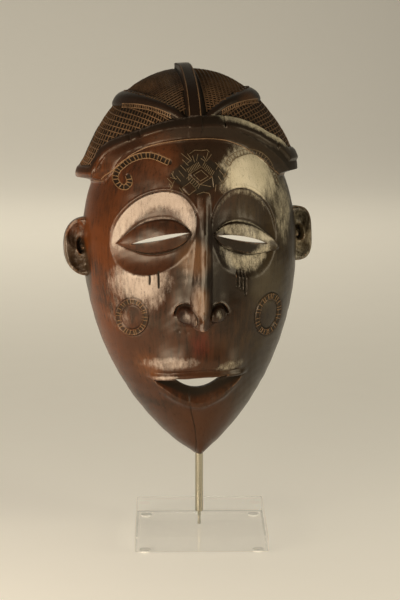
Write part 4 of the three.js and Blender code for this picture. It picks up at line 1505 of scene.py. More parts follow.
class FineGrid:
    """A flat grid of cells, cut finer where the form asks for it, then bent and closed."""

    too_long: float = 1.45
    end_lift: float = 0.35

    def __init__(self, front: CarvedFront) -> None:
        """Makes the coarse grid of turns and rows.

        Args:
            front: the form that the grid is bent onto.
        """
        self.front = front
        self.bm = bmesh.new()
        self.flat = np.zeros((0, 2))
        columns, rows = front.columns, front.rows
        verts = [[self.bm.verts.new((HALF_TURN * (2 * c / columns - 1), r, 0)) for c in range(columns + 1)]
                 for r in range(rows + 1)]
        for r in range(rows):
            for c in range(columns):
                self.bm.faces.new((verts[r][c], verts[r][c + 1], verts[r + 1][c + 1], verts[r + 1][c]))

    def read(self) -> None:
        """Reads the flat places of all vertices, and numbers them."""
        self.bm.verts.index_update()
        self.flat = np.array([v.co[:2] for v in self.bm.verts])

    def cut(self, rounds: int) -> None:
        """Halves the edges that are longer than the form wants.

        Args:
            rounds: how many times to halve.
        """
        for _ in range(rounds):
            self.read()
            points = self.front.place(self.flat)
            edges = list(self.bm.edges)
            ends = np.array([(e.verts[0].index, e.verts[1].index) for e in edges])
            length = np.linalg.norm(points[ends[:, 0]] - points[ends[:, 1]], axis=1)
            wanted = self.front.cell((self.flat[ends[:, 0]] + self.flat[ends[:, 1]]) / 2)
            long = [e for e, is_long in zip(edges, length > self.too_long * wanted) if is_long]
            if not long:
                break
            bmesh.ops.subdivide_edges(self.bm, edges=long, cuts=1, use_grid_fill=True)

    def bend(self) -> tuple[bmesh.types.BMesh, Array, Array]:
        """Bends the grid onto the form and closes it below, above and behind.

        Returns:
            The closed mesh, and for its first vertices their points and their shares of darkening (dirt and
            painted shade) and of painted highlight.
        """
        self.read()
        points = self.front.place(self.flat)
        notes = np.column_stack([self.front.sunk(self.flat), self.front.pale(self.flat)])
        for vert, point in zip(self.bm.verts, points):
            vert.co = point
        sides = []
        for end, lift in ((0, -self.end_lift), (self.front.rows, self.end_lift)):
            at_end = np.abs(self.flat[:, 1] - end) < 1e-6
            ring = [e for e in self.bm.edges if e.is_boundary and all(at_end[v.index] for v in e.verts)]
            corners = [v for v in self.bm.verts if at_end[v.index]]
            sides.append((ring, sorted(corners, key=lambda v: self.flat[v.index][0]), lift))
        for ring, corners, lift in sides:
            centre = sum((v.co for v in corners), Vector()) / len(corners)
            point = self.bm.verts.new(centre + Vector((0, 0, lift)))
            for edge in ring:
                self.bm.faces.new((*edge.verts, point))
            self.bm.faces.new((corners[0], corners[-1], point))
        self.bm.verts.index_update()
        loose = [e for e in self.bm.edges if e.is_boundary]
        bmesh.ops.holes_fill(self.bm, edges=loose, sides=0)
        bmesh.ops.triangulate(self.bm, faces=[f for f in self.bm.faces if len(f.verts) > 4])
        bmesh.ops.recalc_face_normals(self.bm, faces=self.bm.faces)
        return self.bm, points, notes


def new_object(name: str, mesh: bpy.types.Mesh) -> bpy.types.Object:
    """Puts a mesh in the scene as an object.

    Args:
        name: the object's name.
        mesh: its mesh.

    Returns:
        The object.
    """
    made = bpy.data.objects.new(name, mesh)
    bpy.context.scene.collection.objects.link(made)
    return made


def mesh_from(name: str, points: Any, faces: Any, edges: Any = ()) -> bpy.types.Mesh:
    """A mesh from points and faces, its normals outward if it has faces.

    Args:
        name: the mesh's name.
        points: places, one row each.
        faces: corners of each face.
        edges: loose edges.

    Returns:
        The mesh.
    """
    mesh = bpy.data.meshes.new(name)
    mesh.from_pydata([tuple(p) for p in points], [tuple(e) for e in edges], [tuple(f) for f in faces])
    if len(faces):
        bm = bmesh.new()
        bm.from_mesh(mesh)
        bmesh.ops.remove_doubles(bm, verts=bm.verts, dist=1e-5)
        bmesh.ops.recalc_face_normals(bm, faces=bm.faces)
        bm.to_mesh(mesh)
        bm.free()
    mesh.validate()
    return mesh


def read(items: Any, name: str, width: int, kind: type) -> Array:
    """One property of all of a mesh's vertices or edges, one row each.

    Args:
        items: the vertices or edges.
        name: the property's name.
        width: numbers in a row.
        kind: float or int.

    Returns:
        The rows.
    """
    values = np.empty(len(items) * width, kind)
    items.foreach_get(name, values)
    return values.reshape(-1, width)


def settle(obj: bpy.types.Object) -> None:
    """Turns an object's modifiers into its plain mesh.

    Args:
        obj: the object.
    """
    graph = bpy.context.evaluated_depsgraph_get()
    result = bpy.data.meshes.new_from_object(obj.evaluated_get(graph))
    obj.modifiers.clear()
    obj.data = result


def join_or_cut(obj: bpy.types.Object, tool: bpy.types.Object, way: str) -> None:
    """Joins a tool shape to an object or cuts it away, and removes the tool.

    Args:
        obj: the object worked on.
        tool: the other closed shape.
        way: UNION or DIFFERENCE.
    """
    step = obj.modifiers.new("work", "BOOLEAN")
    step.operation = way
    step.solver = "MANIFOLD"
    step.object = tool
    settle(obj)
    bpy.data.objects.remove(tool)


def prism(name: str, outline: Sequence[Pair], reach: float, slant: float) -> bpy.types.Object:
    """A straight cut through the face from an outline in its front.

    Args:
        name: the tool's name.
        outline: corners across and up.
        reach: how far forward the cut starts.
        slant: how far the cut runs across for each step back, measured from the front's usual depth.

    Returns:
        The tool.
    """
    flat = np.array(outline)
    count = len(flat)
    near, far = (np.column_stack([flat[:, 0] + slant * (USUAL_DEPTH + y), np.full(count, y), flat[:, 1]])
                 for y in (-float(reach), BEHIND))
    faces: Faces = []
    for i in range(count):
        j = (i + 1) % count
        faces.append((i, j, count + j, count + i))
    faces += [tuple(range(count))[::-1], tuple(range(count, 2 * count))]
    return new_object(name, mesh_from(name, np.vstack([near, far]), faces))


def middle(name: str, z: float) -> Vector:
    """The middle of a solid's box seen from above, at a height."""
    low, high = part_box(name)
    return Vector(((low.x + high.x) / 2, (low.y + high.y) / 2, z))


def lathe(name: str, profile: Sequence[Pair], sides: int) -> bpy.types.Mesh:
    """A closed round body from a profile that starts and ends on the axis.

    Args:
        name: the mesh's name.
        profile: radius and height of each corner.
        sides: number of steps round.

    Returns:
        The mesh, standing on the Z axis.
    """
    points: list[Triple] = []
    rings: list[list[int]] = []
    for radius, height in profile:
        start = len(points)
        steps = 1 if radius == 0 else sides
        for i in range(steps):
            a = 2 * math.pi * i / sides
            points.append((radius * math.cos(a), radius * math.sin(a), height))
        rings.append([start + i % steps for i in range(sides)])
    faces = []
    for low, high in zip(rings[:-1], rings[1:]):
        for i in range(sides):
            j = (i + 1) % sides
            corners = dict.fromkeys((low[i], low[j], high[j], high[i]))
            faces.append(tuple(corners))
    return mesh_from(name, points, faces)


class Slot(Enum):
    """The record's material slots."""

    WOOD = "carved_wood"
    STEEL = "rod_steel"
    ACRYLIC = "clear_acrylic"
    BUMPER = "clear_bumper"


@dataclass(frozen=True)
class Wire:
    """A shader socket that takes part in sums: each sum adds a Math node."""

    maker: "ShaderMaker"
    socket: bpy.types.NodeSocket

    def __add__(self, other: Any) -> "Wire":
        """This plus other."""
        return self.maker.math("ADD", self, other)

    def __sub__(self, other: Any) -> "Wire":
        """This less other."""
        return self.maker.math("SUBTRACT", self, other)

    def __rsub__(self, other: Any) -> "Wire":
        """Other less this."""
        return self.maker.math("SUBTRACT", other, self)

    def __mul__(self, other: Any) -> "Wire":
        """This times other."""
        return self.maker.math("MULTIPLY", self, other)

    __radd__ = __add__
    __rmul__ = __mul__


class ShaderMaker:
    """Builds the nodes of one material."""

    def __init__(self, name: str) -> None:
        """Starts a material with only its output.

        Args:
            name: the material's name.
        """
        self.material = bpy.data.materials.new(name)
        self.material.use_nodes = True
        self.tree = self.material.node_tree
        self.tree.nodes.clear()
        self.output = self.tree.nodes.new("ShaderNodeOutputMaterial")

    def feed(self, socket: bpy.types.NodeSocket, value: Any) -> None:
        """Links a wire to a socket, or sets the socket's own value.

        Args:
            socket: the socket.
            value: a wire, a number or a colour.
        """
        if isinstance(value, Wire):
            self.tree.links.new(value.socket, socket)
        else:
            socket.default_value = value

    def node(self, kind: str, settings: dict[str, Any] | None = None, **inputs: Any) -> bpy.types.Node:
        """One node.

        Args:
            kind: the node's type, without its ShaderNode prefix.
            settings: properties that are set first.
            **inputs: values or wires by socket name, with _ for a space.

        Returns:
            The node.
        """
        made = self.tree.nodes.new("ShaderNode" + kind)
        for key, value in (settings or {}).items():
            setattr(made, key, value)
        for key, value in inputs.items():
            self.feed(made.inputs[key.replace("_", " ")], value)
        return made

    def wire(self, node: bpy.types.Node, name: str) -> Wire:
        """One output of a node as a wire."""
        return Wire(self, node.outputs[name])

    def math(self, operation: str, *values: Any, clamp: bool = False) -> Wire:
        """A Math node.

        Args:
            operation: what it does.
            *values: its numbers or wires.
            clamp: whether the result is held from 0 to 1.

        Returns:
            Its result.
        """
        made = self.node("Math", {"operation": operation, "use_clamp": clamp})
        for socket, value in zip(made.inputs, values):
            self.feed(socket, value)
        return self.wire(made, "Value")

    def step(self, value: Wire, start: float, end: float, low: float = 0, high: float = 1) -> Wire:
        """Eased step of a wire.

        Args:
            value: the wire.
            start: where the step begins.
            end: where it is done.
            low: the result before it.
            high: the result after it.

        Returns:
            The result.
        """
        made = self.node("MapRange", {"interpolation_type": "SMOOTHSTEP"}, Value=value)
        for key, number in (("From Min", start), ("From Max", end), ("To Min", low), ("To Max", high)):
            made.inputs[key].default_value = number
        return self.wire(made, "Result")

    def blend(self, share: Any, first: Any, second: Any) -> Wire:
        """A Mix node on colours.

        Args:
            share: how much of the second.
            first: a colour or wire.
            second: a colour or wire.

        Returns:
            The mixed colour.
        """
        made = self.node("Mix", {"data_type": "RGBA"})
        for index, value in ((0, share), (6, first), (7, second)):
            self.feed(made.inputs[index], value if isinstance(value, (Wire, float, int)) else (*value, 1))
        return Wire(self, made.outputs[2])

    def place(self) -> Wire:
        """Object coordinates, in metres."""
        return self.wire(self.node("TexCoord"), "Object")

    def stretched(self, tall: float) -> Wire:
        """Object coordinates with their height scaled by a Mapping node."""
        made = self.node("Mapping", {"vector_type": "POINT"}, Vector=self.place(), Scale=(1, 1, tall))
        return self.wire(made, "Vector")

    def noise(self, vector: Wire, scale: float, detail: float, roughness: float = 0.55,
              warp: float = 0) -> Wire:
        """Noise on a vector.

        Args:
            vector: the coordinates.
            scale: cells per metre.
            detail: number of finer layers.
            roughness: their strength.
            warp: distortion.

        Returns:
            Its value.
        """
        made = self.node("TexNoise", Vector=vector, Scale=scale, Detail=detail,
                         Roughness=roughness, Distortion=warp)
        return self.wire(made, "Fac")

    def attribute(self, name: str) -> Wire:
        """A number kept on the mesh's points."""
        return self.wire(self.node("Attribute", {"attribute_name": name}), "Fac")

    def near(self, centre: Vector, reach: float, soft: float) -> Wire:
        """Share of nearness to a point.

        Args:
            centre: the point, in metres.
            reach: where the share falls to 0.
            soft: how wide it falls off.

        Returns:
            The share, 1 close by.
        """
        made = self.node("VectorMath", {"operation": "DISTANCE"})
        self.feed(made.inputs[0], self.place())
        made.inputs[1].default_value = centre
        return self.step(self.wire(made, "Value"), reach, reach - soft)

    def bump(self, height: Wire, strength: float, distance: float) -> Wire:
        """The normal from a Bump node, where a height of 1 stands for a distance in metres."""
        return self.wire(self.node("Bump", Height=height, Strength=strength, Distance=distance), "Normal")

    def finish(self, **inputs: Any) -> bpy.types.Material:
        """Ends in a Principled shader.

        Args:
            **inputs: values or wires by socket name, with _ for a space.

        Returns:
            The material.
        """
        shader = self.node("BsdfPrincipled", **inputs)
        self.tree.links.new(shader.outputs[0], self.output.inputs["Surface"])
        return self.material


@dataclass(frozen=True)
class Patch:
    """A spot of another colour on the wood, round a place in the mask's frame."""

    x: float
    d: float
    z: float
    reach: float
    soft: float
    colour: Colour
    strength: float


@dataclass(frozen=True)
class CarvedWood:
    """Old polished wood: black patina over red-brown, paler where it is rubbed, dirt in the cuts, with
    painted shade in hollows, painted highlights, and a painted sheen that turns the right half greenish.
    """

    dark: Colour = (0.010, 0.006, 0.004)
    brown: Colour = (0.046, 0.015, 0.006)
    # The right half's greenish tone: the wood's own with painted sheen.
    olive_and_sheen: Colour = (0.024, 0.015, 0.006)
    orange: Colour = (0.112, 0.029, 0.006)
    rubbed: Colour = (0.17, 0.075, 0.030)
    # Colour of dirt in pores and cuts, also laid as painted shade in hollows.
    dirt_and_shade: Colour = (0.006, 0.004, 0.0025)
    # Painted highlight colours: pinkish on the left, greenish cream on the right.
    pale: tuple[Colour, Colour] = ((0.42, 0.33, 0.265), (0.55, 0.48, 0.34))
    darker_from: Pair = (0.362, 0.322)
    darker: float = 0.5
    brow: Pair = (0.31, 0.28)
    black_from: Pair = (0.275, 0.32)
    olive_and_sheen_from: Pair = (0.0, 0.06)
    orange_from: Pair = (-0.03, -0.072)
    cooler_from: Pair = (0.009, 0.017)
    cloud: float = 26
    grain: float = 420
    specks: float = 1500
    streaks: float = 380
    pores: float = 620
    patches: tuple[Patch, ...] = (
        Patch(-6, 80, 88, 23, 16, (0.12, 0.012, 0.005), 0.95),
        # Near black right of the nose: dark patina with painted shade on the nose's shaded right side.
        Patch(14, 92, 150, 60, 36, (0.006, 0.0035, 0.002), 0.9),
        Patch(-2, 84, 222, 40, 30, (0.014, 0.008, 0.004), 0.7),
        Patch(-4, 40, 20, 52, 40, (0.044, 0.014, 0.004), 0.85),
        Patch(-34, 80, 232, 30, 24, (0.10, 0.030, 0.009), 0.55),
        Patch(-72, 40, 200, 30, 24, (0.05, 0.014, 0.004), 0.6),
        Patch(-54, 58, 66, 32, 24, (0.22, 0.075, 0.022), 0.6),
        Patch(46, 56, 60, 36, 28, (0.010, 0.006, 0.003), 0.8),
        # The nose's left facet, lighter: tan wood with painted light where it faces the low left lamp.
        Patch(-12, 86, 156, 24, 20, (0.15, 0.07, 0.03), 0.6),
        Patch(-12, 92, 124, 22, 18, (0.17, 0.078, 0.032), 0.6),
        Patch(46, 50, 264, 26, 20, (0.09, 0.036, 0.012), 0.5),
        # Painted shade in the valley between the left cheek and the nose.
        Patch(-27, 84, 108, 24, 16, (0.010, 0.006, 0.006), 0.75),
        Patch(-100, 0, 146, 34, 9, (0.034, 0.019, 0.009), 0.95),
        Patch(84, 5, 163, 15, 9, (0.12, 0.085, 0.045), 0.9),
        # Greenish spots on the right cheek and under the right brow: the wood's tone with painted sheen.
        Patch(56, 70, 130, 34, 26, (0.06, 0.045, 0.022), 0.5),
        Patch(34, 84, 186, 26, 20, (0.05, 0.036, 0.017), 0.5),
    )

    def make(self, name: str, pose: Matrix, lift: float = 0, shine: float = 0.2) -> bpy.types.Material:
        """The wood's material.

        Args:
            name: the material's name.
            pose: where the mask's frame lies.
            lift: share of rubbed wood added all over.
            shine: weight of the polish where the wood is clean.

        Returns:
            The material.
        """
        m = ShaderMaker(name)
        dirt_and_painted_shade, worn, pale = m.attribute("dirt_and_painted_shade"), m.attribute("worn"), m.attribute("pale")
        cloud = m.noise(m.place(), self.cloud, 3, 0.5, 0.6)
        grain = m.noise(m.stretched(0.09), self.grain, 5, 0.62, 0.25)
        speck = m.noise(m.place(), self.specks, 3, 0.7)
        across = m.wire(m.node("SeparateXYZ", Vector=m.place()), "X") + (cloud - 0.5) * 0.05
        height = m.wire(m.node("SeparateXYZ", Vector=m.place()), "Z")
        # The right half turns greenish: the wood's tone with painted sheen.
        colour = m.blend(m.step(across, *self.olive_and_sheen_from), self.brown, self.olive_and_sheen)
        face = m.step(height, *self.brow)
        colour = m.blend(m.step(across, *self.orange_from) * face, colour, self.orange)
        mottled = m.step(cloud + (grain - 0.5) * 0.8, 0.62, 0.3)
        black = m.step(height, *self.black_from, 0, 0.88)
        colour = m.blend(m.math("MAXIMUM", mottled * 0.8, black), colour, self.dark)
        for patch in self.patches:
            centre = pose @ Vector((patch.x, -patch.d, patch.z))
            near = m.near(centre, patch.reach * MM, patch.soft * MM)
            share = m.step(near + (grain - 0.5) * 0.5 + (cloud - 0.5) * 0.5, 0.15, 1.0, 0, patch.strength)
            colour = m.blend(share, colour, patch.colour)
        raised = m.step(height, *self.darker_from, lift * self.darker, lift)
        bare = worn * m.step(height, *self.brow, 0.3, 0.75)
        bare = bare + (grain - 0.5) * 0.5 + (cloud - 0.5) * 0.6 + raised
        colour = m.blend(m.step(bare, 0.28, 0.9), colour, self.rubbed)
        # Painted highlight: where the pale share is high, the lamps' highlight colour, streaked and speckled,
        # covers the wood.
        highlight_colour = m.blend(m.step(across, *self.cooler_from), *self.pale)
        streak = m.noise(m.stretched(0.35), self.streaks, 4, 0.66)
        uneven = ((streak - 0.5) * 1.15 + (speck - 0.5) * 0.9 + (cloud - 0.5) * 0.9) * m.step(pale, 0, 0.3)
        colour = m.blend(m.step(pale * 0.92 + uneven, 0.12, 1.02, 0, 0.94), colour, highlight_colour)
        pores = m.noise(m.stretched(0.22), self.pores, 3, 0.7)
        specks = m.step(m.math("MAXIMUM", speck, pores), 0.57, 0.7, 0, 0.55)
        colour = m.blend(specks, colour, self.dirt_and_shade)
        # Dirt and painted shade, as noted on the mesh.
        colour = m.blend(m.step(dirt_and_painted_shade + (grain - 0.5) * 0.3, 0.15, 0.85, 0, 0.94), colour, self.dirt_and_shade)
        tooth = (speck - 0.5) * 0.35 + (grain - 0.5) * 0.22
        rough = m.math("ADD", m.step(dirt_and_painted_shade, 0.1, 0.9, 0.33, 0.62), tooth, clamp=True)
        coat = m.step(dirt_and_painted_shade, 0.7, 0.1, 0.0, shine) * m.step(height, *self.brow, 0.2, 1)
        return m.finish(
            Base_Color=colour, Roughness=rough, Coat_Weight=coat, Coat_Roughness=0.25,
            Specular_IOR_Level=0.26, Specular_Tint=(1.0, 0.82, 0.6, 1.0),
            Normal=m.bump(grain * 0.7 + speck * 0.3, 0.3, 0.0005),
        )


@dataclass(frozen=True)
class BrushedSteel:
    """A plain steel bar with faint turning lines."""

    colour: Colour = (0.47, 0.43, 0.33)
    roughness: float = 0.24

    def make(self, name: str) -> bpy.types.Material:
        """The steel's material.

        Args:
            name: the material's name.

        Returns:
            The material.
        """
        m = ShaderMaker(name)
        lines = m.noise(m.stretched(14), 160, 3, 0.6)
        smear = m.noise(m.place(), 60, 3)
        return m.finish(
            Base_Color=m.blend(smear, self.colour, tuple(0.82 * c for c in self.colour)), Metallic=1.0,
            Roughness=self.roughness + (lines - 0.5) * 0.16, Normal=m.bump(lines, 0.12, 0.0002),
        )


@dataclass(frozen=True)
class ClearPlastic:
    """A clear plastic, with the slight unevenness of a polished face."""

    colour: Colour = (0.97, 0.98, 0.97)
    roughness: float = 0.0
    index: float = 1.49
    body: float = 0.2
    clear: float = 1.0
    edge: float = 0.6
    edge_width: float = 2.0

    def make(self, name: str, box: tuple[Vector, Vector] | None = None) -> bpy.types.Material:
        """The plastic's material.

        Args:
            name: the material's name.
            box: the corners of a block whose edges show more than its faces.

        Returns:
            The material.
        """
        m = ShaderMaker(name)
        haze = m.noise(m.place(), 45, 2)
        shown: Any = self.body
        if box:
            place = m.node("SeparateXYZ", Vector=m.place())
            gaps = [(high - low) / 2 - m.math("ABSOLUTE", m.wire(place, axis) - (low + high) / 2)
                    for axis, low, high in zip("XYZ", *box)]
            least = m.math("MINIMUM", gaps[0], gaps[1])
            most = m.math("MAXIMUM", gaps[0], gaps[1])
            second = m.math("MAXIMUM", least, m.math("MINIMUM", most, gaps[2]))
            shown = m.step(second, self.edge_width * MM, 0.4 * self.edge_width * MM, self.body, self.edge)
        colour = m.blend(haze, self.colour, tuple(0.985 * c for c in self.colour))
        return m.finish(Base_Color=colour, Roughness=self.roughness, IOR=self.index,
                        Transmission_Weight=self.clear, Alpha=shown)


@dataclass(frozen=True)
class Paper:
    """The seamless studio ground, pale round the object, with painted shade that darkens it to the sides, in
    front, behind and high up, and a faint painted glow of its own.
    """

    pale: Colour
    far: Colour
    high: Colour
    shade: Colour
    beside: Pair = (0.4, 1.2)
    ahead: Pair = (-0.35, -1.0)
    behind: Pair = (-0.1, 0.6)
    above: Pair = (1.3, 2.2)
    glow: float = 0.2

    def make(self, name: str) -> bpy.types.Material:
        """The ground's material.

        Args:
            name: the material's name.

        Returns:
            The material.
        """
        m = ShaderMaker(name)
        place = m.node("SeparateXYZ", Vector=m.place())
        back = m.wire(place, "Y")
        aside = m.math("ABSOLUTE", m.wire(place, "X"))
        outside = m.math("MAXIMUM", m.step(aside, *self.beside), m.step(back, *self.ahead))
        tooth = m.noise(m.place(), 30, 3)
        # Painted shade: the ground darkens behind, high up, to the sides and in front.
        colour = m.blend(m.step(back, *self.behind), self.pale, self.far)
        colour = m.blend(m.step(back, *self.above), colour, self.high)
        colour = m.blend(outside, colour, self.shade)
        colour = m.blend(tooth * 0.03, colour, (0.3, 0.28, 0.25))
        # Painted light: the ground glows faintly with its own colour, though it is no lamp.
        return m.finish(Base_Color=colour, Roughness=0.9, Specular_IOR_Level=0.1,
                        Emission_Color=colour, Emission_Strength=self.glow)


@dataclass
class Lines:
    """Lines for the bars to follow, each with its share of the bars' radius."""

    paths: list[Array] = field(default_factory=list)
    shares: list[float] = field(default_factory=list)

    def add(self, paths: Sequence[Array], share: float) -> None:
        """Adds lines that have the same share."""
        self.paths += paths
        self.shares += [share] * len(paths)

    def mesh(self, name: str) -> bpy.types.Mesh:
        """The lines as a mesh of edges, with the share as the attribute thick.

        Args:
            name: the mesh's name.

        Returns:
            The mesh.
        """
        points, edges, widths = [], [], []
        for line, share in zip(self.paths, self.shares):
            start = len(points)
            points.extend(line)
            edges.extend((start + i, start + i + 1) for i in range(len(line) - 1))
            widths.extend([share] * len(line))
        mesh = mesh_from(name, points, (), edges)
        mesh.attributes.new("thick", "FLOAT", "POINT").data.foreach_set("value", widths)
        return mesh


class NodeTree:
    """A Geometry Nodes tree with named inputs, which ends in Realize Instances and Set Material."""

    def __init__(self, name: str, **inputs: str) -> None:
        """Starts the tree.

        Args:
            name: the tree's name.
            **inputs: the kind of each input by its name, beside Geometry and Finish.
        """
        self.tree = bpy.data.node_groups.new(name, "GeometryNodeTree")
        sockets = self.tree.interface
        self.inputs = {key: sockets.new_socket(key, in_out="INPUT", socket_type="NodeSocket" + kind)
                       for key, kind in {"Geometry": "Geometry", **inputs, "Finish": "Material"}.items()}
        sockets.new_socket("Geometry", in_out="OUTPUT", socket_type="NodeSocketGeometry")
        self.given = self.tree.nodes.new("NodeGroupInput").outputs

    def node(self, kind: str, **inputs: Any) -> bpy.types.Node:
        """Adds a node.

        Args:
            kind: its type, without the GeometryNode prefix.
            **inputs: links or values of its sockets, with _ for a space.

        Returns:
            The node.
        """
        made = self.tree.nodes.new("GeometryNode" + kind)
        for key, value in inputs.items():
            socket = made.inputs[key.replace("_", " ")]
            if isinstance(value, bpy.types.NodeSocket):
                self.tree.links.new(value, socket)
            else:
                socket.default_value = value
        return made

    def end(self, shape: bpy.types.NodeSocket) -> None:
        """Realizes a shape, sets its material and hands it out.

        Args:
            shape: the last output.
        """
        real = self.node("RealizeInstances", Geometry=shape)
        paint = self.node("SetMaterial", Geometry=real.outputs[0], Material=self.given["Finish"])
        self.tree.links.new(paint.outputs[0], self.tree.nodes.new("NodeGroupOutput").inputs["Geometry"])

    def run(self, name: str, mesh: bpy.types.Mesh, **values: Any) -> bpy.types.Object:
        """Runs the tree once on a mesh and keeps the plain mesh.

        Args:
            name: the piece's name.
            mesh: what the tree works on.
            **values: the inputs by name.

        Returns:
            The piece.
        """
        obj = new_object(name, mesh)
        step = obj.modifiers.new("nodes", "NODES")
        step.node_group = self.tree
        for key, value in values.items():
            step[self.inputs[key].identifier] = value
        settle(obj)
        return obj


class SweptBars(NodeTree):
    """Runs a round bar along every line of a mesh of edges."""

    def __init__(self) -> None:
        """Builds the tree."""
        super().__init__("raised_lines", Radius="Float", Sides="Int")
        line = self.node("MeshToCurve", Mesh=self.given["Geometry"])
        thick = self.node("InputNamedAttribute", Name="thick")
        ring = self.node("CurvePrimitiveCircle", Radius=self.given["Radius"], Resolution=self.given["Sides"])
        sweep = self.node("CurveToMesh", Curve=line.outputs[0], Profile_Curve=ring.outputs[0], Fill_Caps=True,
                          Scale=thick.outputs["Attribute"])
        self.end(sweep.outputs[0])


class Repeated(NodeTree):
    """Sets a copy of one shape on every point of a mesh."""

    def __init__(self) -> None:
        """Builds the tree."""
        super().__init__("bumper_copies", Shape="Object")
        shape = self.node("ObjectInfo", Object=self.given["Shape"])
        copies = self.node("InstanceOnPoints", Points=self.given["Geometry"],
                           Instance=shape.outputs["Geometry"])
        self.end(copies.outputs[0])


def finish_piece(obj: bpy.types.Object, slot: Slot, *nodes: str, sharp: float = 38) -> None:
    """Makes a piece part of the object.

    Args:
        obj: the piece, its place in its mesh, in metres.
        slot: the record's slot for its finish; not used.
        *nodes: the solids that it stands for.
        sharp: angle past which an edge is shaded sharp, in degrees.
    """
    obj.data.polygons.foreach_set("use_smooth", [True] * len(obj.data.polygons))
    obj.data.set_sharp_from_angle(angle=math.radians(sharp))
    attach(obj, BODY)
    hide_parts(*nodes)
    triangles = sum(len(p.vertices) - 2 for p in obj.data.polygons)
    LOG.info("%s: %d triangles, for %s", obj.name, triangles, ", ".join(nodes))


@dataclass
class MaskPlace:
    """How the mask sits on its rod."""

    turn: float = 8.4
    tip: float = 1.05
    lean: float = 6
    rod_in_chin: float = 21
    rod_depth: float = 10

    def matrix(self) -> Matrix:
        """From the mask's frame in millimetres to the row's frame in metres.

        Returns:
            The matrix.
        """
        foot = middle("rod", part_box("rod")[1].z - self.rod_in_chin * MM)
        turned = (
            Matrix.Rotation(math.radians(self.turn), 4, "Z")
            @ Matrix.Rotation(math.radians(-self.tip), 4, "Y")
            @ Matrix.Rotation(math.radians(-self.lean), 4, "X")
        )
        back = Matrix.Translation((0, self.rod_depth, 0))
        return Matrix.Translation(foot) @ Matrix.Scale(MM, 4) @ turned @ back


@dataclass
class CarvedMask:
    """The mask: carved front, ears, hollow back, slits, mouth and the rod's hole."""

    front: CarvedFront = field(default_factory=CarvedFront)
    hollow: Hollow = field(default_factory=Hollow)
    place: MaskPlace = field(default_factory=MaskPlace)
    rod_hole: float = 3.3
    cut_reach: float = 130
    hole_over: float = 0.3
    hole_below: float = 20.3
    halvings: int = 3
    cavity_rounds: int = 4
    known_within: float = 0.6
    ear_from: float = 77
    ear_highlight_share: float = 0.3
    back_grime: float = 0.5

    def build(self) -> bpy.types.Object:
        """Builds the mask's mesh in its own frame.

        Returns:
            The mask, still in its own frame and in millimetres.
        """
        grid = FineGrid(self.front)
        grid.cut(self.halvings)
        bm, points, notes = grid.bend()
        mesh = bpy.data.meshes.new("mask_carved")
        bm.to_mesh(mesh)
        bm.free()
        mask = new_object("mask_carved", mesh)
        for ear in EARS:
            join_or_cut(mask, new_object("ear", mesh_from("ear", *ear.mesh())), "UNION")
        hollow = mesh_from("hollow", *self.hollow.mesh(self.front.head))
        join_or_cut(mask, new_object("hollow", hollow), "DIFFERENCE")
        for eye in EYES:
            join_or_cut(mask, prism("slit", eye.slit_outline(), self.cut_reach, eye.slant), "DIFFERENCE")
        join_or_cut(mask, prism("mouth", self.front.mouth.opening_outline(), self.cut_reach, 0), "DIFFERENCE")
        join_or_cut(mask, self.bore(), "DIFFERENCE")
        self.note_wear_and_painted_light(mask.data, points, notes)
        return mask

    def bore(self) -> bpy.types.Object:
        """The cutter for the rod's hole, upright in the row's frame.

        Returns:
            The cutter, moved into the mask's frame.
        """
        length = (self.place.rod_in_chin + self.hole_below) * MM
        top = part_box("rod")[1].z + self.hole_over * MM
        tool = lathe("bore", ((0, 0), (self.rod_hole * MM, 0), (self.rod_hole * MM, length), (0, length)), 48)
        tool.transform(Matrix.Translation(middle("rod", top - length)))
        tool.transform(self.place.matrix().inverted())
        return new_object("bore", tool)

    def note_wear_and_painted_light(self, mesh: bpy.types.Mesh, points: Array, notes: Array) -> None:
        """Notes on each point its dirt and painted shade, how rubbed it is, and its share of painted
        highlight.

        Args:
            mesh: the mask's mesh.
            points: places whose shares are known.
            notes: their shares of darkening and of painted highlight, one row each.
        """
        count = len(mesh.vertices)
        co, normal = (read(mesh.vertices, name, 3, float) for name in ("co", "normal"))
        ends = read(mesh.edges, "vertices", 2, int)
        degree = np.maximum(np.bincount(ends.ravel(), minlength=count), 1)[:, None]
        eased = co.copy()
        for _ in range(self.cavity_rounds):
            total = np.zeros_like(eased)
            np.add.at(total, ends[:, 0], eased[ends[:, 1]])
            np.add.at(total, ends[:, 1], eased[ends[:, 0]])
            eased = mix(eased, total / degree, 0.6)
        length = np.linalg.norm(co[ends[:, 0]] - co[ends[:, 1]], axis=1)
        cell = np.bincount(ends.ravel(), weights=np.repeat(length, 2), minlength=count) / degree[:, 0]
        hollow = np.einsum("ij,ij->i", eased - co, normal) / (0.15 * self.cavity_rounds * cell**2)
        tree = KDTree(len(points))
        for index, point in enumerate(points):
            tree.insert(point, index)
        tree.balance()
        found = np.array([tree.find(place)[1:] for place in co])
        near = found[:, 1] < self.known_within
        ground, pale = np.where(near, notes[found[:, 0].astype(int)].T, 0)
        ear = (np.abs(co[:, 0]) > self.ear_from) & (co[:, 1] < -1)
        inside = np.where(near | ear, 0, self.back_grime)
        # The ears get a low even share of the painted highlight.
        pale = np.where(ear & ~near, self.ear_highlight_share, pale)
        # Dirt and painted shade: the sunk shares, plus darkening in hollows and creases (less under the
        # painted highlight) and on the back.
        dirt_and_painted_shade = np.clip(np.maximum(ground, smooth(0.15, 1.2, hollow) * (1 - 0.7 * pale)) + inside, 0, 1)
        away = smooth(0.4, 1.8, self.front.cuts.near(co[:, 0], co[:, 2]))
        worn = smooth(0.3, 1.3, -hollow) * (1 - ground) * away
        for name, values in (("dirt_and_painted_shade", dirt_and_painted_shade), ("worn", worn), ("pale", pale)):
            mesh.attributes.new(name, "FLOAT", "POINT").data.foreach_set("value", values.astype(np.float32))


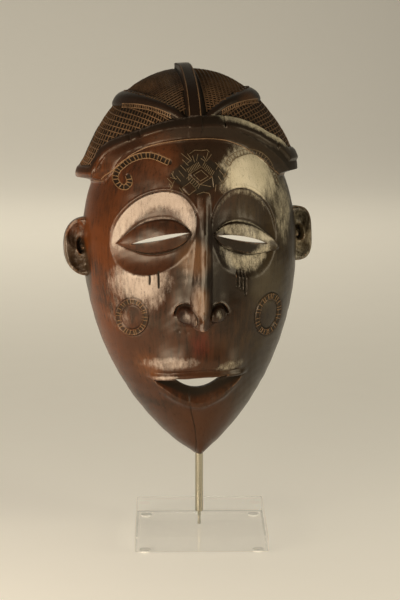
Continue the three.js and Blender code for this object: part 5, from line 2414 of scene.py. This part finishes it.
@dataclass
class Ornament:
    """Raised lines on the mask: the cap's lattice, the ladders on its ribs and the marks on the face."""

    front: CarvedFront
    tree: BVHTree
    step: float = 1.6
    sweep_height: float = 225
    reach: float = 200
    upper_pitch: Pair = (2.8, 3.0)
    cross_pitch: Pair = (2.6, 2.3)
    cross_slope: Pair = (0.62, 0.2)
    upper_shares: tuple[Pair, ...] = ((0.6, 1.25), (1.0, 0.85))
    lower_pitch: Pair = (3.6, 2.9)
    lower_cross: Pair = (2.1, 3.0)
    lower_share: Pair = (0.95, 0.72)
    lower_lean: float = 0.5
    lower_tilt: float = 9
    upper_turns: Triple = (4, 90, 1.1)
    upper_start: float = 1.6
    upper_end: Pair = (78, 80)
    lower_drops: Pair = (4.2, 60)
    lower_feet: float = 130
    ladder: Pair = (-0.5, 1.2)
    ladder_rung: float = 2.2
    ladder_points: int = 54
    crest_line: float = 0.72
    ladder_lift: float = 0.25
    crest_lift: float = 0.1
    mark_lift: float = 0.05
    lift: float = 0.12
    margin: float = 0.35
    rail_share: float = 0.75
    rung_share: float = 0.6
    edge_share: float = 0.8

    def split(self, points: Array, keep: Array) -> list[Array]:
        """Cuts a line where it isn't kept.

        Args:
            points: the line.
            keep: which of its points stay.

        Returns:
            The stretches that stay.
        """
        found, run = [], []
        for point, good in zip(points, keep):
            if good:
                run.append(point)
                continue
            if len(run) > 2:
                found.append(np.array(run))
            run = []
        if len(run) > 2:
            found.append(np.array(run))
        return found

    def cast(self, origins: Array, ways: Array, lift: float) -> Arrays:
        """Lays places on the mask along rays.

        Args:
            origins: where the rays start.
            ways: their directions.
            lift: how far above the surface the places lie.

        Returns:
            The places, and which rays met the mask.
        """
        places, met = [], []
        for origin, way in zip(origins, ways):
            hit, normal, _, _ = self.tree.ray_cast(Vector(origin), Vector(way))
            met.append(hit is not None)
            places.append(tuple(hit + normal * lift) if hit is not None else (0, 0, 0))
        return np.array(places), np.array(met)

    def on_face(self, path: Array) -> list[Array]:
        """Lays a path given in the mask's front on the face.

        Args:
            path: places across and up.

        Returns:
            The stretches that lie on the mask.
        """
        origins = np.column_stack([path[:, 0], np.full(len(path), -self.reach), path[:, 1]])
        places, met = self.cast(origins, np.tile((0.0, 1.0, 0.0), (len(path), 1)), self.mark_lift)
        return self.split(places, met)

    def lattice(self) -> Lines:
        """The crossed lines in the cap's panels.

        Returns:
            The lines.
        """
        found = Lines()
        self.upper(found)
        self.lower(found)
        return found

    def upper(self, found: Lines) -> None:
        """Adds the crossed lines above the side ribs.

        Args:
            found: the lines so far.
        """
        ribs = self.front.ribs
        turns = np.radians(np.arange(*self.upper_turns))
        start = ribs.crest_half + self.upper_start
        sides = zip((-1, 1), self.upper_pitch, self.cross_pitch, self.cross_slope, self.upper_shares)
        for side, pitch, cross, slope, shares in sides:
            for gap in np.arange(start, self.upper_end[0], pitch):
                found.add(self.slice_line(np.full(len(turns), ribs.crest_top + side * gap), turns), shares[0])
            across = np.arange(start, self.upper_end[1], self.step)
            for turn in np.radians(np.arange(2, 130, math.degrees(cross / 70))):
                tilted = turn - slope * (across - start) / 85
                found.add(self.slice_line(ribs.crest_top + side * across, tilted), shares[1])

    def slice_line(self, x: Array, turn: Array) -> list[Array]:
        """A line on the upper cap, kept inside the panels.

        Args:
            x: places across.
            turn: turns up from straight ahead.

        Returns:
            The stretches of it.
        """
        ways = np.column_stack([np.zeros(len(x)), -np.cos(turn), np.sin(turn)])
        centre = np.column_stack([x, np.zeros(len(x)), np.full(len(x), self.sweep_height)])
        places, met = self.cast(centre + ways * self.reach, -ways, self.lift)
        angle = self.front.cap.angle_at(places[:, 0], -places[:, 1], places[:, 2])
        _, _, rib = self.front.ribs.rib(angle)
        on_panel = self.front.panel(angle, places[:, 0], places[:, 2]) > self.margin
        return self.split(places, met & (places[:, 2] > rib) & on_panel & (np.abs(angle) < 1.53))

    def lower(self, found: Lines) -> None:
        """Adds the crossed lines between the side ribs and the bead.

        Args:
            found: the lines so far.
        """
        angles = np.linspace(0.06, 1.5, 78)
        tilt = self.lower_tilt * np.maximum(angles - 0.25, 0)
        z = np.arange(276, 218, -1.2)
        for side, pitch, cross, share in zip((-1, 1), self.lower_pitch, self.lower_cross, self.lower_share):
            for drop in np.arange(*self.lower_drops, pitch):
                _, half, centre = self.front.ribs.rib(side * angles)
                found.add(self.laid(side * angles, centre - half - np.maximum(drop - tilt, -5)), share)
            for foot in np.arange(0, self.lower_feet, cross):
                angle = self.front.cap.angle_on(side * (foot - self.lower_lean * (z - z[-1])), z)
                _, half, centre = self.front.ribs.rib(angle)
                kept = (np.abs(angle) < 1.5) & (z < centre - half + 0.6)
                if np.count_nonzero(kept) > 2:
                    found.add(self.laid(angle[kept], z[kept]), share)

    def laid(self, angle: Array, z: Array) -> list[Array]:
        """A line on the lower cap, kept inside the panels.

        Args:
            angle: turns from straight ahead.
            z: heights.

        Returns:
            The stretches of it.
        """
        places, way = self.front.bend(angle, z)
        x = self.front.cap.point(angle, z)[0]
        return self.split(places + way * self.lift, self.front.panel(angle, x, z) > self.margin)

    def ladders(self) -> Lines:
        """The ladder along each side rib's lower edge, the crest's edge lines and the brim's.

        Returns:
            The lines.
        """
        found = Lines()
        for side in (-1, 1):
            angle = side * np.linspace(0.1, 1.5, 96)
            _, half, centre = self.front.ribs.rib(angle)
            low = self.front.brim.bead_top(self.front.cap.point(angle, centre)[0]) + 1.5
            kept = np.flatnonzero(centre - half - self.ladder[1] > low)[: self.ladder_points]
            ends = []
            for drop in self.ladder:
                places, way = self.front.bend(angle[kept], centre[kept] - half[kept] - drop)
                ends.append(places + way * self.ladder_lift)
            found.add(ends, self.rail_share)
            run = np.concatenate([[0], np.cumsum(np.linalg.norm(np.diff(ends[0], axis=0), axis=1))])
            for place in np.arange(1, run[-1], self.ladder_rung):
                i = int(np.argmin(np.abs(run - place)))
                found.add([np.linspace(ends[0][i], ends[1][i], 3)], self.rung_share)
            found.add([self.crest_edge(side)], self.edge_share)
        found.add([self.brim_line()], self.edge_share)
        return found

    def brim_line(self) -> Array:
        """The thin line along the ridge under the brim.

        Returns:
            The line.
        """
        angle = np.linspace(-1.38, 1.42, 150)
        x = self.front.cap.point(angle, np.full(len(angle), self.front.cap.base))[0]
        places, way = self.front.bend(angle, self.front.brim.edge(x) + 0.1)
        return places - way * self.lift

    def crest_edge(self, side: int) -> Array:
        """The thin line along one edge of the crest, from the brim to the crown.

        Args:
            side: -1 for the left edge, 1 for the right.

        Returns:
            The line.
        """
        brim, ribs, cap = self.front.brim, self.front.ribs, self.front.cap
        z = np.linspace(brim.bead_top(np.array([ribs.crest_foot]))[0], cap.top - 2.5, 60)
        x = ribs.crest_x(z, brim) + side * ribs.crest_half * self.crest_line
        half, _ = cap.sizes(z, cap.under_crown)
        angle = np.arcsin(np.clip((x - cap.shift) / half, -1, 1))
        places, way = self.front.bend(angle, z)
        return places + way * self.crest_lift

    def marks(self, *sources: tuple[Any, float]) -> Lines:
        """Raised marks on the face.

        Args:
            *sources: what has the lines, each with its share of the radius.

        Returns:
            The lines.
        """
        found = Lines()
        for source, share in sources:
            for path in source.lines():
                found.add(self.on_face(path), share)
        return found


@dataclass
class DisplayStand:
    """The clear block, the steel rod in it and the four bumpers under it."""

    bevel: float = 0.9
    pin: float = 1.2
    gap: float = 0.3
    chamfer: float = 0.35
    foot: Triple = (4.2, 3.4, 1.4)

    def rod(self, finish: bpy.types.Material) -> bpy.types.Object:
        """The rod.

        Args:
            finish: its material.

        Returns:
            The piece.
        """
        low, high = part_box("rod")
        radius, length, cut = (high.x - low.x) / 2, high.z - low.z, self.chamfer * MM
        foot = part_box("base_block")[1].z + self.gap * MM - low.z
        pin = self.pin * MM
        steps = np.linspace(foot + cut, length - cut, 24)
        profile = [(0, 0), (pin - cut / 2, 0), (pin, cut / 2), (pin, foot), (radius - cut, foot),
                   *((radius, z) for z in steps), (radius - cut, length), (0, length)]
        mesh = lathe("rod_turned", profile, 64)
        mesh.transform(Matrix.Translation(middle("rod", low.z)))
        mesh.materials.append(finish)
        return new_object("rod_turned", mesh)

    def block(self, finish: bpy.types.Material) -> bpy.types.Object:
        """The block with the rod's hole.

        Args:
            finish: its material.

        Returns:
            The piece.
        """
        low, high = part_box("base_block")
        bm = bmesh.new()
        bmesh.ops.create_cube(bm, size=1)
        for vert in bm.verts:
            for axis in range(3):
                vert.co[axis] = low[axis] if vert.co[axis] < 0 else high[axis]
        bmesh.ops.bevel(bm, geom=list(bm.edges), offset=self.bevel * MM, segments=3, profile=0.5,
                        affect="EDGES")
        bmesh.ops.recalc_face_normals(bm, faces=bm.faces)
        mesh = bpy.data.meshes.new("block_clear")
        bm.to_mesh(mesh)
        bm.free()
        block = new_object("block_clear", mesh)
        radius = (self.pin + self.gap) * MM
        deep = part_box("rod")[0].z - self.gap * MM
        length = high.z - deep + 5 * MM
        tool = lathe("hole", ((0, 0), (radius, 0), (radius, length), (0, length)), 64)
        tool.transform(Matrix.Translation(middle("rod", deep)))
        join_or_cut(block, new_object("hole", tool), "DIFFERENCE")
        block.data.materials.clear()
        block.data.materials.append(finish)
        return block

    def feet(self, finish: bpy.types.Material) -> tuple[bpy.types.Object, list[str]]:
        """The four bumpers.

        Args:
            finish: their material.

        Returns:
            The piece and the solids that it stands for.
        """
        names = sorted(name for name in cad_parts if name.startswith("foot_"))
        wide, tip, tall = (size * MM for size in self.foot)
        turn = [(tip + (wide - tip) * math.sin(a), (tall - 0.15 * MM) * (1 - math.cos(a)) * 0.55)
                for a in np.linspace(0.3, HALF_TURN, 8)]
        profile = [(0, 0), (tip * 0.7, 0), *turn, (wide, tall), (0, tall)]
        places = mesh_from("bumpers", [middle(name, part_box(name)[0].z) for name in names], ())
        shape = new_object("bumper", lathe("bumper", profile, 40))
        feet = Repeated().run("bumpers", places, Shape=shape, Finish=finish)
        bpy.data.objects.remove(shape)
        return feet, names


@dataclass(frozen=True)
class Lamp:
    """A soft light: what it faces, its width and height, its watts and how widely it shines, in degrees."""

    name: str
    place: Triple
    aim: Triple
    size: Pair
    power: float
    colour: Colour
    spread: float = 180

    def hang(self) -> None:
        """Puts the light in the scene."""
        data = bpy.data.lights.new(self.name, "AREA")
        data.spread = math.radians(self.spread)
        data.shape = "RECTANGLE"
        data.size, data.size_y = self.size
        data.energy = self.power
        data.color = self.colour
        lamp = bpy.data.objects.new(self.name, data)
        lamp.location = self.place
        aim = Vector(self.aim) - Vector(self.place)
        lamp.rotation_euler = aim.to_track_quat("-Z", "Y").to_euler()
        bpy.context.scene.collection.objects.link(lamp)


LAMPS = (
    Lamp("card", (-0.5, -0.62, 0.12), (0.0, 0.0, 0.2), (0.75, 0.5), 12, (1.0, 0.88, 0.72)),
    Lamp("side", (1.0, -0.42, 0.36), (0.0, 0.0, 0.2), (0.5, 0.8), 6, (1.0, 0.93, 0.74)),
    Lamp("wall", (-0.7, 1.3, 1.6), (-0.7, 1.7, 0.2), (2.2, 0.6), 9.8, (1.0, 0.93, 0.81), 120),
)


@dataclass
class Studio:
    """Seamless ground, soft lights and the camera."""

    eye: Triple = (-25, -1404, 472)
    tilt: float = 78.4
    heading: float = -1.0
    lens: float = 114
    sensor: float = 36
    half_width: float = 3.2
    front: float = -2.4
    back: float = 2.9
    height: float = 3.6
    bend: float = 1.1
    glow: Colour = (1.0, 0.88, 0.68)
    glow_strength: float = 0.15

    def ground(self) -> None:
        """The floor that rises into a wall in one sweep."""
        profile = [(self.front, 0.0), (self.back - self.bend, 0.0)]
        for a in np.linspace(0, HALF_TURN, 24)[1:]:
            profile.append((self.back - self.bend + self.bend * math.sin(a), self.bend * (1 - math.cos(a))))
        profile.append((self.back, self.height))
        points = [(x, y, z) for x in (-self.half_width, self.half_width) for y, z in profile]
        count = len(profile)
        faces = [(i, count + i, count + i + 1, i + 1) for i in range(count - 1)]
        mesh = bpy.data.meshes.new("ground")
        mesh.from_pydata(points, [], faces)
        mesh.polygons.foreach_set("use_smooth", [True] * len(mesh.polygons))
        paper = Paper((0.92, 0.885, 0.8), (0.82, 0.785, 0.69), (0.6, 0.575, 0.51), (0.3, 0.29, 0.255))
        mesh.materials.append(paper.make("ground_paper"))
        new_object("ground", mesh)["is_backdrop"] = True

    def lights(self) -> None:
        """All lights and the ambient glow."""
        for lamp in LAMPS:
            lamp.hang()
        world = bpy.data.worlds.new("glow")
        world.use_nodes = True
        backdrop = world.node_tree.nodes["Background"]
        backdrop.inputs["Color"].default_value = (*self.glow, 1)
        backdrop.inputs["Strength"].default_value = self.glow_strength
        bpy.context.scene.world = world

    def camera(self) -> None:
        """The camera, at the photograph's place."""
        data = bpy.data.cameras.new("view")
        data.lens, data.sensor_width = self.lens, self.sensor
        camera = bpy.data.objects.new("view", data)
        camera.location = middle("base_block", 0) + Vector(self.eye) * MM
        camera.rotation_euler = (math.radians(self.tilt), 0, math.radians(self.heading))
        bpy.context.scene.collection.objects.link(camera)
        bpy.context.scene.camera = camera


def plain_box() -> list[list[float]]:
    """The shown object's box as plain lists."""
    bpy.context.view_layer.update()
    return [list(corner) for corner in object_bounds()]


def main() -> None:
    """Builds the stand, the mask and the studio."""
    logging.basicConfig(level=logging.INFO, format="%(name)s: %(message)s")
    solid_box = plain_box()
    bpy.context.scene.view_settings.view_transform = "Standard"
    studio = Studio()
    studio.camera()

    stand = DisplayStand()
    finish_piece(stand.rod(BrushedSteel().make("steel")), Slot.STEEL, "rod")
    acrylic = ClearPlastic().make("acrylic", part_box("base_block"))
    finish_piece(stand.block(acrylic), Slot.ACRYLIC, "base_block", sharp=30)
    feet, names = stand.feet(ClearPlastic((1.0, 0.985, 0.94), 0.15, body=0.9, clear=0.15).make("bumper"))
    finish_piece(feet, Slot.BUMPER, *names)

    carver, wood = CarvedMask(), CarvedWood()
    pose = carver.place.matrix()
    mask = carver.build()
    mask.data.materials.clear()
    mask.data.materials.append(wood.make("wood", pose))
    whole = bmesh.new()
    whole.from_mesh(mask.data)
    ornament = Ornament(carver.front, BVHTree.FromBMesh(whole))
    whole.free()
    light = ornament.marks((BANDS[0], 0.85), *((ring, 0.7) for ring in CHEEK_RINGS))
    dim = ornament.marks((BANDS[1], 0.6), (carver.front.diamond, 0.56))
    pieces, bars = [mask], SweptBars()
    for name, lines, radius, sides, finish, rubbed, darker, lift, shine in (
        ("cap_lattice", ornament.lattice(), 0.5, 5, "wood_lines", (0.18, 0.1, 0.05), 0.72, 0.66, 0),
        ("rib_ladders", ornament.ladders(), 0.5, 5, "wood_ladders", (0.24, 0.14, 0.072), 0.85, 0.72, 0),
        ("light_marks", light, 0.45, 6, "wood_light_marks", (0.21, 0.12, 0.056), 0.5, 0.78, 0.1),
        ("dim_marks", dim, 0.45, 6, "wood_dim_marks", (0.15, 0.105, 0.058), 0.5, 0.75, 0.1),
    ):
        material = replace(wood, rubbed=rubbed, darker=darker).make(finish, pose, lift, shine)
        pieces.append(bars.run(name, lines.mesh(name), Radius=radius, Sides=sides, Finish=material))
    for piece in pieces:
        piece.data.transform(pose)
        finish_piece(piece, Slot.WOOD, "mask")

    studio.ground()
    studio.lights()
    {"cad": solid_box, "visual": plain_box()}


if __name__ == "__main__":
    main()
